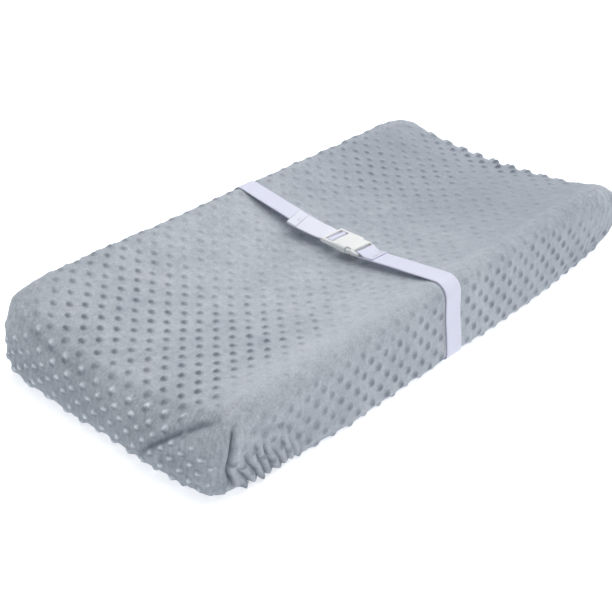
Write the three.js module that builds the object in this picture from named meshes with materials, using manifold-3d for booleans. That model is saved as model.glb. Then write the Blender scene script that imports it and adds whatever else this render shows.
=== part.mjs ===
// A contoured changing pad in a fitted plush cover, with a webbing safety strap that closes in a
// side-release buckle. Millimetres, +Z up. The origin is under the middle of the pad, +X runs along
// its length and +Y towards the long side that carries the strap's adjustable half.

import * as THREE from "three";
import { mergeVertices } from "three/addons/utils/BufferGeometryUtils.js";
import Module from "manifold-3d";

const wasm = await Module();
wasm.setup();

// ---------------------------------------------------------------- driving dimensions

const PAD_LENGTH = 813; // covered pad, end to end
const PAD_WIDTH = 406; // covered pad, between the long sides
const CORNER_RADIUS = 34; // of the outline, seen from above
const DIP_HEIGHT = 79; // covered height along the middle of the pad
const CREST_RISE = 31; // how much higher the two long crests stand
const CREST_REACH = 183; // from the middle of the pad to the line of a crest
const EDGE_ROUND = 24; // radius where the top turns into the sides

const GAP = 0.3; // clearance between touching pieces
const COVER_THICKNESS = 1.6;
const VINYL_THICKNESS = 1;
const UNDERSIDE = 1.7; // height of the cover's turned-under edge above the table
const BASE_BOTTOM = 5.6; // height of the base sheet
const BASE_THICKNESS = 1.2;
const TURN_UNDER = 56.6; // how far the cover reaches in under the pad

const HEM_WIDTH = 12; // elastic casing round the cover's opening
const HEM_LAYER = 1;
const HEM_HEIGHT = 3.6;
const ELASTIC_WIDTH = 8;

const WEBBING_WIDTH = 30;
const WEBBING_THICKNESS = 1.4;
const STITCH_HEIGHT = 0.4;
const STRAP_NEAR_X = -3; // where the strap runs up the -Y side
const STRAP_FAR_X = 20; // where it runs down the +Y side
const STRAP_STRAIGHT = 190; // the strap runs straight across the top between -Y and +Y of this

const BUCKLE_Y = -19.5; // middle of the closed buckle
const BUCKLE_HEIGHT = 95.5; // height of its middle plane
const TAIL_REACH = 70; // Y where the free tail of the strap ends
const FOLD_REACH = -76; // Y where the sewn fold of the other half ends

const HALF_LENGTH = PAD_LENGTH / 2;
const HALF_WIDTH = PAD_WIDTH / 2;
const HALF_WEBBING = WEBBING_THICKNESS / 2;
const LAYER = WEBBING_THICKNESS + GAP; // one thickness of webbing lying on another

// ---------------------------------------------------------------- solids

function closedGeometry(positions, triangles) {
  const geometry = new THREE.BufferGeometry();
  geometry.setAttribute("position", new THREE.Float32BufferAttribute(positions, 3));
  geometry.setIndex(triangles);
  return geometry;
}

function toSolid(geometry) {
  const bare = new THREE.BufferGeometry();
  bare.setAttribute("position", geometry.getAttribute("position"));
  if (geometry.index) bare.setIndex(geometry.index);
  const merged = mergeVertices(bare, 1e-4);
  return new wasm.Manifold(
    new wasm.Mesh({
      numProp: 3,
      vertProperties: merged.attributes.position.array,
      triVerts: new Uint32Array(merged.index.array),
    }),
  );
}

function fromSolid(solid) {
  const mesh = solid.getMesh();
  return closedGeometry(Array.from(mesh.vertProperties), Array.from(mesh.triVerts));
}

// A block between two corners, as a solid for joining and cutting.
function block(low, high) {
  const size = high.map((value, axis) => value - low[axis]);
  const geometry = new THREE.BoxGeometry(...size);
  geometry.translate(...low.map((value, axis) => value + size[axis] / 2));
  return toSolid(geometry);
}

// A flat piece of the given outline, from one height to another.
function slab(outline, low, high) {
  const shape = new THREE.Shape(outline.map(([x, y]) => new THREE.Vector2(x, y)));
  const geometry = new THREE.ExtrudeGeometry(shape, { depth: high - low, bevelEnabled: false });
  geometry.translate(0, 0, low);
  return geometry;
}

// Triangles between two rings of a ringed surface, each ring having the same count of points.
function ringStrip(here, next, count) {
  const triangles = [];
  for (let i = 0; i < count; i++) {
    const j = (i + 1) % count;
    triangles.push(here * count + i, here * count + j, next * count + j);
    triangles.push(here * count + i, next * count + j, next * count + i);
  }
  return triangles;
}

// Triangles that fill one ring, as seen from above.
function ringCap(rings, ring) {
  const flat = rings[ring].map((point) => new THREE.Vector2(point.x, point.y));
  const corners = THREE.ShapeUtils.triangulateShape(flat, []).flat();
  return corners.map((index) => ring * rings[ring].length + index);
}

const coordinates = (rings) => rings.flat().flatMap((point) => [point.x, point.y, point.z]);
const turnedOver = (triangles) => triangles.slice().reverse();

// Joins rings into one closed body. Flat caps close the first and last ring, unless the rings
// form a loop, as they do round a casing.
function loft(rings, isLoop = false) {
  const count = rings[0].length;
  const triangles = rings.slice(1).flatMap((_, ring) => ringStrip(ring, ring + 1, count));
  if (isLoop) triangles.push(...ringStrip(rings.length - 1, 0, count));
  else triangles.push(...turnedOver(ringCap(rings, 0)), ...ringCap(rings, rings.length - 1));
  return closedGeometry(coordinates(rings), triangles);
}

// Joins two ringed sheets of the same layout, open at their first rings, into one closed skin.
function doubleSheet(outer, inner) {
  const count = outer[0].length;
  const strips = outer.slice(1).flatMap((_, ring) => ringStrip(ring, ring + 1, count));
  const sheet = [...strips, ...ringCap(outer, outer.length - 1)];
  const inside = turnedOver(sheet).map((index) => index + outer.length * count);
  const rim = ringStrip(outer.length, 0, count);
  return closedGeometry(coordinates([...outer, ...inner]), [...sheet, ...inside, ...rim]);
}

// ---------------------------------------------------------------- the pad's shape

// Points round a rounded rectangle, anticlockwise from the +X end of the -Y side. The long sides
// take their points from a list of shares of the straight stretch, from -1 to 1.
const CORNER_STEPS = 4;
const evenShares = (steps) => Array.from({ length: steps }, (_, i) => -1 + (2 * i) / steps);
const LONG_SHARES = evenShares(14);
const SHORT_SHARES = evenShares(8);

function outline(inset, nearShares = LONG_SHARES, farShares = LONG_SHARES) {
  const radius = Math.max(CORNER_RADIUS * (1 - inset / HALF_WIDTH), 0.5);
  const straightX = HALF_LENGTH - inset - radius;
  const straightY = HALF_WIDTH - inset - radius;
  const points = [];
  const corner = (cx, cy, start) => {
    for (let step = 0; step < CORNER_STEPS; step++) {
      const angle = start + (Math.PI / 2) * (step / CORNER_STEPS);
      points.push([cx + radius * Math.cos(angle), cy + radius * Math.sin(angle)]);
    }
  };
  nearShares.forEach((share) => points.push([share * straightX, -straightY - radius]));
  corner(straightX, -straightY, -Math.PI / 2);
  SHORT_SHARES.forEach((share) => points.push([straightX + radius, share * straightY]));
  corner(straightX, straightY, 0);
  farShares.forEach((share) => points.push([-share * straightX, straightY + radius]));
  corner(-straightX, straightY, Math.PI / 2);
  SHORT_SHARES.forEach((share) => points.push([-straightX - radius, -share * straightY]));
  corner(-straightX, -straightY, Math.PI);
  return points;
}

// Height of the cradle-shaped top at a distance from the pad's middle line, before its edge is
// rounded off, and how much the rounding takes away at an inset from the outline.
const crown = (y) => DIP_HEIGHT + CREST_RISE * (y / CREST_REACH) ** 2;
const rounding = (inset) =>
  inset < EDGE_ROUND ? EDGE_ROUND - Math.sqrt(EDGE_ROUND ** 2 - (EDGE_ROUND - inset) ** 2) : 0;

const level = (inset, z) => ({ inset, height: () => z });
const share = (inset, part) => ({ inset, height: (y) => part * crown(y) });
const onTop = (inset) => ({ inset, height: (y) => crown(y) - rounding(inset) });

const UNDER_RINGS = [level(TURN_UNDER, UNDERSIDE), level(30, UNDERSIDE), level(14, UNDERSIDE)];
const FOOT_RINGS = [level(6, 4), level(2, 9)];
const SIDE_RINGS = [level(0, 20), share(0, 0.4), share(1.5, 0.65)];
const EDGE_RINGS = [5, 10, 17].map(onTop);
const TOP_RINGS = [27, 45, 75, 105, 135, 165, 193].map(onTop);

const ringPoints = ({ inset, height }, nearShares, farShares) =>
  outline(inset, nearShares, farShares).map(([x, y]) => new THREE.Vector3(x, y, height(y)));

const FIRST_TOP_RING = [UNDER_RINGS, FOOT_RINGS, SIDE_RINGS, EDGE_RINGS].flat().length;

// Moves every point of the pad's ringed surface inwards: straight down on the shallow top, and at
// right angles to the surface elsewhere.
function sunk(rings, distance) {
  return rings.map((ring, r) =>
    ring.map((point, i) => {
      if (r >= FIRST_TOP_RING) return point.clone().setZ(point.z - distance);
      const along = new THREE.Vector3().subVectors(
        ring[(i + 1) % ring.length],
        ring[(i + ring.length - 1) % ring.length],
      );
      const across = new THREE.Vector3().subVectors(
        rings[Math.min(r + 1, rings.length - 1)][i],
        rings[Math.max(r - 1, 0)][i],
      );
      const inwards = along.cross(across).normalize().multiplyScalar(-distance);
      return point.clone().add(inwards);
    }),
  );
}

const OUTER_SURFACE = [...UNDER_RINGS, ...FOOT_RINGS, ...SIDE_RINGS, ...EDGE_RINGS, ...TOP_RINGS].map(
  (ring) => ringPoints(ring),
);

// A skin that hugs the pad, from one depth below the covered surface to another, open underneath.
function skin(firstRing, outerDepth, innerDepth) {
  const surface = (depth) => sunk(OUTER_SURFACE, depth).slice(firstRing);
  return doubleSheet(surface(outerDepth), surface(innerDepth));
}

function coverShell() {
  return skin(0, 0, COVER_THICKNESS);
}

const VINYL_DEPTH = COVER_THICKNESS + GAP;
const FOAM_DEPTH = VINYL_DEPTH + VINYL_THICKNESS + GAP;

function vinylShell() {
  return skin(UNDER_RINGS.length, VINYL_DEPTH, VINYL_DEPTH + VINYL_THICKNESS);
}

function foamCore() {
  const bottom = BASE_BOTTOM + BASE_THICKNESS + GAP;
  const foot = [level(20, bottom), level(8, 13)].map((ring) => ringPoints(ring));
  const firstSide = UNDER_RINGS.length + FOOT_RINGS.length;
  return loft([...foot, ...sunk(OUTER_SURFACE, FOAM_DEPTH).slice(firstSide)]);
}

const BINDING_INSET = 8.6;
const BINDING_WIDTH = 5;
const BINDING_TOP = 9.5;

function basePanel() {
  const inset = BINDING_INSET + BINDING_WIDTH + GAP;
  const faces = [BASE_BOTTOM, BASE_BOTTOM + BASE_THICKNESS];
  return loft(faces.map((z) => ringPoints(level(inset, z))));
}

function bindingRing() {
  const inner = BINDING_INSET + BINDING_WIDTH;
  const section = [
    level(inner, BASE_BOTTOM),
    level(BINDING_INSET, BASE_BOTTOM),
    level(BINDING_INSET, BINDING_TOP - 1),
    level(BINDING_INSET + 1, BINDING_TOP),
    level(inner - 1, BINDING_TOP),
    level(inner, BINDING_TOP - 1),
  ];
  return loft(section.map((ring) => ringPoints(ring)), true);
}

// ---------------------------------------------------------------- the cover's hem

// The hem rises over the two straps, which pass under it.
const LANE_HALF = 17;
const LANE_RAMP = 10;
const LANE_MARGIN = 6; // no other point of the outline comes nearer to a lane than this
const HEM_STRAIGHT = HALF_LENGTH - TURN_UNDER - CORNER_RADIUS;

function hemShares(laneX) {
  const lane = [-LANE_HALF - LANE_RAMP, -LANE_HALF, LANE_HALF, LANE_HALF + LANE_RAMP];
  const inLane = lane.map((offset) => (laneX + offset) / HEM_STRAIGHT);
  const clear = (LANE_HALF + LANE_RAMP + LANE_MARGIN) / HEM_STRAIGHT;
  const others = LONG_SHARES.filter((value) => Math.abs(value - laneX / HEM_STRAIGHT) > clear);
  return [...others, ...inLane].sort((a, b) => a - b);
}

const NEAR_SHARES = hemShares(STRAP_NEAR_X);
const FAR_SHARES = hemShares(-STRAP_FAR_X);

function laneRise(x, y) {
  if (Math.abs(y) < HALF_WIDTH - TURN_UNDER - HEM_WIDTH - 1) return 0;
  const laneX = y < 0 ? STRAP_NEAR_X : STRAP_FAR_X;
  const away = (Math.abs(x - laneX) - LANE_HALF - 1) / (LANE_RAMP - 1);
  return LAYER * THREE.MathUtils.clamp(1 - away, 0, 1);
}

function hemLoop(section) {
  const rings = section.map(([inset, z]) =>
    outline(inset, NEAR_SHARES, FAR_SHARES).map(
      ([x, y]) => new THREE.Vector3(x, y, z + laneRise(x, y)),
    ),
  );
  return loft(rings, true);
}

const HEM_OUTER = TURN_UNDER + GAP;
const HEM_FOLD = HEM_OUTER + HEM_WIDTH;

// The casing is one folded strip: two layers joined by the fold that faces the middle of the pad.
function hemCasing() {
  return hemLoop([
    [HEM_OUTER, 0],
    [HEM_OUTER, HEM_LAYER],
    [HEM_FOLD - HEM_LAYER, HEM_LAYER],
    [HEM_FOLD - HEM_LAYER, HEM_HEIGHT - HEM_LAYER],
    [HEM_OUTER, HEM_HEIGHT - HEM_LAYER],
    [HEM_OUTER, HEM_HEIGHT],
    [HEM_FOLD, HEM_HEIGHT],
    [HEM_FOLD, 0],
  ]);
}

function hemElastic() {
  const inner = HEM_FOLD - HEM_LAYER - GAP;
  const low = HEM_LAYER + GAP;
  const high = HEM_HEIGHT - HEM_LAYER - GAP;
  return hemLoop([
    [inner - ELASTIC_WIDTH, low],
    [inner - ELASTIC_WIDTH, high],
    [inner, high],
    [inner, low],
  ]);
}

// ---------------------------------------------------------------- the strap

const STRAP_TURN = Math.atan((STRAP_FAR_X - STRAP_NEAR_X) / (2 * STRAP_STRAIGHT));
const TURN_FADE = 30; // over this much of Y the band squares up to the pad's side

function strapCentre(y) {
  const along = THREE.MathUtils.clamp((y + STRAP_STRAIGHT) / (2 * STRAP_STRAIGHT), 0, 1);
  return THREE.MathUtils.lerp(STRAP_NEAR_X, STRAP_FAR_X, along);
}

// Where a strap runs at a point of its path: square to its own line across the top of the pad,
// and square to the pad down the sides and underneath.
function alongStrap(y, z) {
  if (z < DIP_HEIGHT) return { x: y < 0 ? STRAP_NEAR_X : STRAP_FAR_X, turn: 0 };
  const fade = THREE.MathUtils.clamp((STRAP_STRAIGHT - Math.abs(y)) / TURN_FADE, 0, 1);
  return { x: strapCentre(y), turn: STRAP_TURN * fade };
}

// A flat band along points in the Y-Z plane. place(y, z) gives the band's middle X and its turn.
function band(points, width, thickness, place) {
  const flat = points.map(([y, z]) => new THREE.Vector2(y, z));
  const normals = flat.map((point, i) => {
    const before = flat[Math.max(i - 1, 0)];
    const after = flat[Math.min(i + 1, flat.length - 1)];
    const backwards = new THREE.Vector2().subVectors(point, before).normalize();
    const forwards = new THREE.Vector2().subVectors(after, point).normalize();
    if (i === 0) backwards.copy(forwards);
    if (i === flat.length - 1) forwards.copy(backwards);
    const mean = backwards.clone().add(forwards).normalize();
    return new THREE.Vector2(-mean.y, mean.x).multiplyScalar(1 / Math.max(mean.dot(forwards), 0.5));
  });
  const positions = [];
  flat.forEach((point, i) => {
    for (const [side, face] of [[-1, -1], [1, -1], [1, 1], [-1, 1]]) {
      const y = point.x + (normals[i].x * thickness * face) / 2;
      const z = point.y + (normals[i].y * thickness * face) / 2;
      const { x, turn } = place(point.x, point.y);
      const reach = (side * width) / 2;
      positions.push(x + reach * Math.cos(turn), y - reach * Math.sin(turn), z);
    }
  });
  const triangles = [0, 1, 2, 0, 2, 3];
  for (let i = 0; i + 1 < flat.length; i++) {
    for (let side = 0; side < 4; side++) {
      const a = 4 * i + side;
      const b = 4 * i + ((side + 1) % 4);
      triangles.push(a, a + 4, b + 4, a, b + 4, b);
    }
  }
  const end = 4 * (flat.length - 1);
  triangles.push(end, end + 2, end + 1, end, end + 3, end + 2);
  const geometry = closedGeometry(positions, triangles);
  return toSolid(geometry).volume() > 0 ? geometry : closedGeometry(positions, triangles.reverse());
}

const inBuckle = () => ({ x: 0, turn: 0 });

// The band's path over the covered pad on the side of the given sign: from its anchor under the
// base, under the hem, round the foot and up the side to the crest.
const ANCHOR_HEIGHT = 3.3;
const ANCHOR_END = 72;
const ANCHOR_SEWN = 104;
const TABLE_START = 120; // beyond the anchor the band comes down to the table
const TABLE_END = HALF_WIDTH - 14;

function sidePath(sign) {
  const standOff = HALF_WEBBING + GAP;
  const rings = [...FOOT_RINGS, ...SIDE_RINGS, ...EDGE_RINGS];
  const wall = [UNDER_RINGS.at(-1), ...rings].map(({ inset, height }) => {
    const y = HALF_WIDTH - inset;
    return new THREE.Vector2(y, height(y));
  });
  const held = wall.slice(1).map((point, i) => {
    const before = wall[i];
    const after = wall[Math.min(i + 2, wall.length - 1)];
    const along = new THREE.Vector2().subVectors(after, before).normalize();
    return [point.x + along.y * standOff, point.y - along.x * standOff];
  });
  const under = [
    [ANCHOR_END, ANCHOR_HEIGHT],
    [ANCHOR_SEWN, ANCHOR_HEIGHT],
    [TABLE_START, HALF_WEBBING],
    [TABLE_END, HALF_WEBBING],
  ];
  return [...under, ...held].map(([y, z]) => [sign * y, z]);
}

// Places in the buckle's own frame: Y along the strap, Z up from the buckle's middle plane.
const LOAD_LEVEL = -3.15; // the loaded band, where it passes under the adjuster's bars
const TAIL_LEVEL = -1.4; // the free tail, lying on the loaded band
const ADJUSTER_END = 34; // where the loop round the lock bar ends
const NEAR_BAR_END = -34; // outside of the receiver's strap bar
const RECEIVER_LEVEL = 2.75; // the sewn band above and below the receiver's bar
const FOLD_START = -44; // where the folded end lies down on the strap

const worldY = (along) => BUCKLE_Y + along * Math.cos(STRAP_TURN);
const toWorld = ([along, up]) => [worldY(along), BUCKLE_HEIGHT + up];

// The straight rise of a band from the buckle to the crest on the side of the given sign: the
// band's height at any Y, starting from a place in the buckle's own frame.
function riseFrom(sign, place) {
  const crest = sidePath(sign).at(-1);
  const start = toWorld(place);
  const slope = (crest[1] - start[1]) / (crest[0] - start[0]);
  return (y) => start[1] + slope * (y - start[0]);
}

function farBand() {
  const path = [...sidePath(1), toWorld([ADJUSTER_END + GAP, LOAD_LEVEL])];
  return band(path, WEBBING_WIDTH, WEBBING_THICKNESS, alongStrap);
}

// The tail rests on the loaded band and ends in a hem of three layers.
const TAIL_HEM = 14;
const TAIL_HEM_LIFT = WEBBING_THICKNESS * 0.9;
const TAIL_HEM_WIDTH = WEBBING_WIDTH + 1.5;

function tailHeight(y) {
  return riseFrom(1, [ADJUSTER_END + GAP, LOAD_LEVEL])(y) + TAIL_LEVEL - LOAD_LEVEL;
}

function tailBand() {
  const flatPath = [worldY(ADJUSTER_END + GAP), TAIL_REACH].map((y) => [y, tailHeight(y)]);
  const flat = band(flatPath, WEBBING_WIDTH, WEBBING_THICKNESS, alongStrap);
  const hemPath = [TAIL_REACH - TAIL_HEM, TAIL_REACH].map((y) => [y, tailHeight(y) + TAIL_HEM_LIFT]);
  const hem = band(hemPath, TAIL_HEM_WIDTH, WEBBING_THICKNESS, alongStrap);
  return fromSolid(toSolid(flat).add(toSolid(hem)));
}

function adjusterLoop() {
  const path = [
    [ADJUSTER_END, LOAD_LEVEL],
    [22.4, LOAD_LEVEL],
    [20.4, -2.7],
    [19.2, -1.4],
    [19.1, 0.2],
    [20.1, 1.6],
    [22.1, 2],
    [24.6, 1.4],
    [26.6, -0.4],
    [28.6, TAIL_LEVEL],
    [ADJUSTER_END, TAIL_LEVEL],
  ];
  return band(path, WEBBING_WIDTH, WEBBING_THICKNESS, inBuckle);
}

// The other half: up its side, under the receiver's bar, up through its slot, and back over itself.
function foldHeight(y) {
  return riseFrom(-1, [NEAR_BAR_END, -RECEIVER_LEVEL])(y) + LAYER;
}

function nearBand() {
  const loop = [
    [NEAR_BAR_END, -RECEIVER_LEVEL],
    [-30, -2.6],
    [-28.6, -1.5],
    [-28.2, 0],
    [-28.6, 1.5],
    [-30, 2.6],
    [NEAR_BAR_END, RECEIVER_LEVEL],
    [-38, 1.6],
  ].map(toWorld);
  const back = [worldY(FOLD_START), FOLD_REACH].map((y) => [y, foldHeight(y)]);
  return band([...sidePath(-1), ...loop, ...back], WEBBING_WIDTH, WEBBING_THICKNESS, alongStrap);
}

// A row of stitching across a strap, lying just clear of it between two places along Y.
const STITCH_MARGIN = 2.5; // between the ends of the row and the edges of the strap

function stitchRow(from, to, strapTop) {
  const lift = GAP + STITCH_HEIGHT / 2;
  const path = [from, to].map((y) => [y, strapTop(y) + lift]);
  return band(path, WEBBING_WIDTH - 2 * STITCH_MARGIN, STITCH_HEIGHT, alongStrap);
}

function nearFoldStitch() {
  const strapTop = (y) => foldHeight(y) + HALF_WEBBING;
  return stitchRow(FOLD_REACH + 3, FOLD_REACH + 6, strapTop);
}

function tailStitch() {
  const strapTop = (y) => tailHeight(y) + TAIL_HEM_LIFT + HALF_WEBBING;
  return stitchRow(TAIL_REACH - 12, TAIL_REACH - 10, strapTop);
}

const PATCH_HALF = [27, 20];
const PATCH_THICKNESS = 1;
const PATCH_CUT = 5; // taken off each corner

function anchorPatch() {
  const [x, y] = PATCH_HALF;
  const corners = [
    [-x + PATCH_CUT, -y], [x - PATCH_CUT, -y], [x, -y + PATCH_CUT], [x, y - PATCH_CUT],
    [x - PATCH_CUT, y], [-x + PATCH_CUT, y], [-x, y - PATCH_CUT], [-x, -y + PATCH_CUT],
  ];
  return slab(corners, 0, PATCH_THICKNESS);
}

// A square of stitching with a cross in it, raised a little below the strap.
const BOX_HALF = 12;
const THREAD_WIDTH = 1.2;

function boxStitch() {
  const square = (size) => [[-size, -size], [size, -size], [size, size], [-size, size]];
  const outside = slab(square(BOX_HALF + THREAD_WIDTH / 2), 0, STITCH_HEIGHT);
  const inside = slab(square(BOX_HALF - THREAD_WIDTH / 2), -STITCH_HEIGHT, 2 * STITCH_HEIGHT);
  const diagonal = (turn) => {
    const bar = new THREE.BoxGeometry(2 * Math.SQRT2 * BOX_HALF, THREAD_WIDTH, STITCH_HEIGHT * 0.8);
    return toSolid(bar.translate(0, 0, STITCH_HEIGHT / 2).rotateZ(turn));
  };
  const cross = diagonal(Math.PI / 4).add(diagonal(-Math.PI / 4));
  return fromSolid(toSolid(outside).subtract(toSolid(inside)).add(cross));
}

// ---------------------------------------------------------------- the buckle

// In the buckle's own frame: X across the strap, Y along it, Z up from the middle plane.
const BUCKLE_HALF_WIDTH = 20.5;
const MOUTH = 7; // where the plug enters, along the strap
const WINDOW = [-21.5, -11.2]; // where the housing's sides stand open for the catches

const HOUSING_HALF_HEIGHT = 5.2;
const HOUSING_WAIST = 14.5; // half width of the roof and floor between the side windows
const SHOULDER = -23.8; // where the roof and floor run into the end block
const CAVITY_HALF_WIDTH = 18.7;
const CAVITY_HALF_HEIGHT = 3.4;

const END_HALF_WIDTH = 18.5;
const END_HALF_HEIGHT = 3.4;
const END_REACH = -33.5;
const END_CUT = 2; // taken off the end block's two outer corners
const BAR_INSIDE = -30; // the strap bar runs from here to the end, thinner than the block
const BAR_HALF_HEIGHT = 1.7;
const SLOT_HALF_WIDTH = 15.8;
const SLOT = [-30.2, -24.5];

const RAIL_INNER = 16; // half the space between the plug's rails
const RAIL_HALF_HEIGHT = 3.2;
const RAIL_END = 33.5;
const CROSS_END = 13.5; // of the plug's crosspiece, just outside the mouth
const CROSS_HALF_HEIGHT = 4.2;
const BAR_REACH = RAIL_INNER + 1; // the adjuster's bars run this far, into the rails
const LOCK_BAR = { from: 20.9, to: 23.3, low: -1.9, high: 0.8 };
const OUTER_BAR = { from: 29.9, to: RAIL_END, low: -0.3, high: RAIL_HALF_HEIGHT };
const GUIDE_HALF = 2.6;
const GUIDE_TIP = -13;
const ARM_HALF_HEIGHT = 3;

// A block centred across the strap and on the buckle's middle plane.
const centred = (halfX, from, to, halfZ) => block([-halfX, from, -halfZ], [halfX, to, halfZ]);

function receiver() {
  const wide = BUCKLE_HALF_WIDTH;
  const plan = [
    [-wide, MOUTH], [-wide, WINDOW[1]], [-HOUSING_WAIST, WINDOW[1]], [-HOUSING_WAIST, SHOULDER],
    [HOUSING_WAIST, SHOULDER], [HOUSING_WAIST, WINDOW[1]], [wide, WINDOW[1]], [wide, MOUTH],
  ];
  const endStart = WINDOW[0] + 0.5;
  const endCorner = [END_HALF_WIDTH - END_CUT, END_REACH + END_CUT];
  const endBlock = [
    [-END_HALF_WIDTH, endStart], [-END_HALF_WIDTH, endCorner[1]], [-endCorner[0], END_REACH],
    [endCorner[0], END_REACH], [END_HALF_WIDTH, endCorner[1]], [END_HALF_WIDTH, endStart],
  ];
  const cavity = centred(CAVITY_HALF_WIDTH, WINDOW[0] - GAP, MOUTH + 1, CAVITY_HALF_HEIGHT);
  const strapSlot = centred(SLOT_HALF_WIDTH, ...SLOT, 2 * HOUSING_HALF_HEIGHT);
  const thinning = centred(END_HALF_WIDTH + 1, END_REACH - 1, BAR_INSIDE, 2 * END_HALF_HEIGHT).subtract(
    centred(END_HALF_WIDTH + 2, END_REACH - 2, BAR_INSIDE + 1, BAR_HALF_HEIGHT),
  );
  const end = toSolid(slab(endBlock, -END_HALF_HEIGHT, END_HALF_HEIGHT)).subtract(thinning);
  const housing = toSolid(slab(plan, -HOUSING_HALF_HEIGHT, HOUSING_HALF_HEIGHT));
  return fromSolid(housing.add(end).subtract(cavity).subtract(strapSlot));
}

function plug() {
  const start = MOUTH + GAP;
  const wide = BUCKLE_HALF_WIDTH;
  const rails = [[-wide, -RAIL_INNER], [RAIL_INNER, wide]].map(([left, right]) =>
    block([left, start, -RAIL_HALF_HEIGHT], [right, RAIL_END, RAIL_HALF_HEIGHT]),
  );
  const bars = [LOCK_BAR, OUTER_BAR].map(({ from, to, low, high }) =>
    block([-BAR_REACH, from, low], [BAR_REACH, to, high]),
  );
  const crosspiece = centred(wide, start, CROSS_END, CROSS_HALF_HEIGHT);
  const guide = centred(GUIDE_HALF, GUIDE_TIP, start + 1, GUIDE_HALF);
  return fromSolid([...rails, ...bars, guide].reduce((body, member) => body.add(member), crosspiece));
}

// One sprung arm of the plug, with the catch that snaps into the housing's open side.
const ARM_OUTLINE = [
  [9.5, 6.7],
  [9.5, -16],
  [12, -21],
  [15.5, -21],
  [18.4, -18],
  [19.2, -13],
  [18.8, -11.6],
  [13.2, -11.6],
  [13.2, 6.7],
];

function plugArm(side) {
  const plan = ARM_OUTLINE.map(([x, y]) => [side * x, y]);
  return slab(side > 0 ? plan : plan.reverse(), -ARM_HALF_HEIGHT, ARM_HALF_HEIGHT);
}

// ---------------------------------------------------------------- assembly

const finish = (color, roughness, metalness = 0) =>
  new THREE.MeshStandardMaterial({ color, roughness, metalness });

const PLUSH = finish(0xa9b0b8, 0.95);
const CASING = finish(0x9aa1a9, 0.95);
const FOAM = finish(0xe9e0b8, 0.9);
const VINYL = finish(0xf2f2ef, 0.45);
const BASE_SHEET = finish(0xdfe2e4, 0.6);
const ELASTIC = finish(0xf4f4f2, 0.8);
const WEBBING = finish(0xe4e5f2, 0.75);
const THREAD = finish(0xf6f6f8, 0.6);
const PLASTIC = finish(0xf0f1ee, 0.35);

const group = new THREE.Group();

function addPiece(name, geometry, material, parent = group) {
  const mesh = new THREE.Mesh(geometry, material);
  mesh.name = name;
  parent.add(mesh);
  return mesh;
}

addPiece("foam_core", foamCore(), FOAM);
addPiece("vinyl_shell", vinylShell(), VINYL);
addPiece("base_panel", basePanel(), BASE_SHEET);
addPiece("base_binding", bindingRing(), VINYL);
addPiece("plush_cover", coverShell(), PLUSH);
addPiece("hem_casing", hemCasing(), CASING);
addPiece("hem_elastic", hemElastic(), ELASTIC);

addPiece("near_webbing", nearBand(), WEBBING);
addPiece("near_fold_stitching", nearFoldStitch(), THREAD);
addPiece("far_webbing", farBand(), WEBBING);
addPiece("strap_tail", tailBand(), WEBBING);
addPiece("tail_hem_stitching", tailStitch(), THREAD);

for (const [side, sign, x] of [["near", -1, STRAP_NEAR_X], ["far", 1, STRAP_FAR_X]]) {
  const y = (sign * (ANCHOR_END + ANCHOR_SEWN)) / 2;
  const patch = addPiece(`${side}_anchor_patch`, anchorPatch(), VINYL);
  patch.position.set(x, y, BASE_BOTTOM - GAP - PATCH_THICKNESS);
  const stitch = addPiece(`${side}_anchor_stitching`, boxStitch(), THREAD);
  stitch.position.set(x, y, ANCHOR_HEIGHT - HALF_WEBBING - GAP - STITCH_HEIGHT);
}

const buckle = new THREE.Group();
buckle.position.set(strapCentre(BUCKLE_Y), BUCKLE_Y, BUCKLE_HEIGHT);
buckle.rotation.z = -STRAP_TURN;
group.add(buckle);
addPiece("buckle_receiver", receiver(), PLASTIC, buckle);
addPiece("buckle_plug", plug(), PLASTIC, buckle);
addPiece("plug_arm_left", plugArm(-1), PLASTIC, buckle);
addPiece("plug_arm_right", plugArm(1), PLASTIC, buckle);
addPiece("adjuster_loop", adjusterLoop(), WEBBING, buckle);

export default group;
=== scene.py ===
"""A contoured changing pad in a raised-dot plush cover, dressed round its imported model.

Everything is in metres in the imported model's frame: the origin is under the middle of the pad, +X
runs along it, +Y towards the side with the adjustable half of the strap, and +Z is up.
"""

import logging
import math
from collections.abc import Iterable, Sequence
from dataclasses import dataclass, field, replace
from enum import Enum

import bmesh
import bpy
import numpy as np
from mathutils import Matrix, Vector


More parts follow.
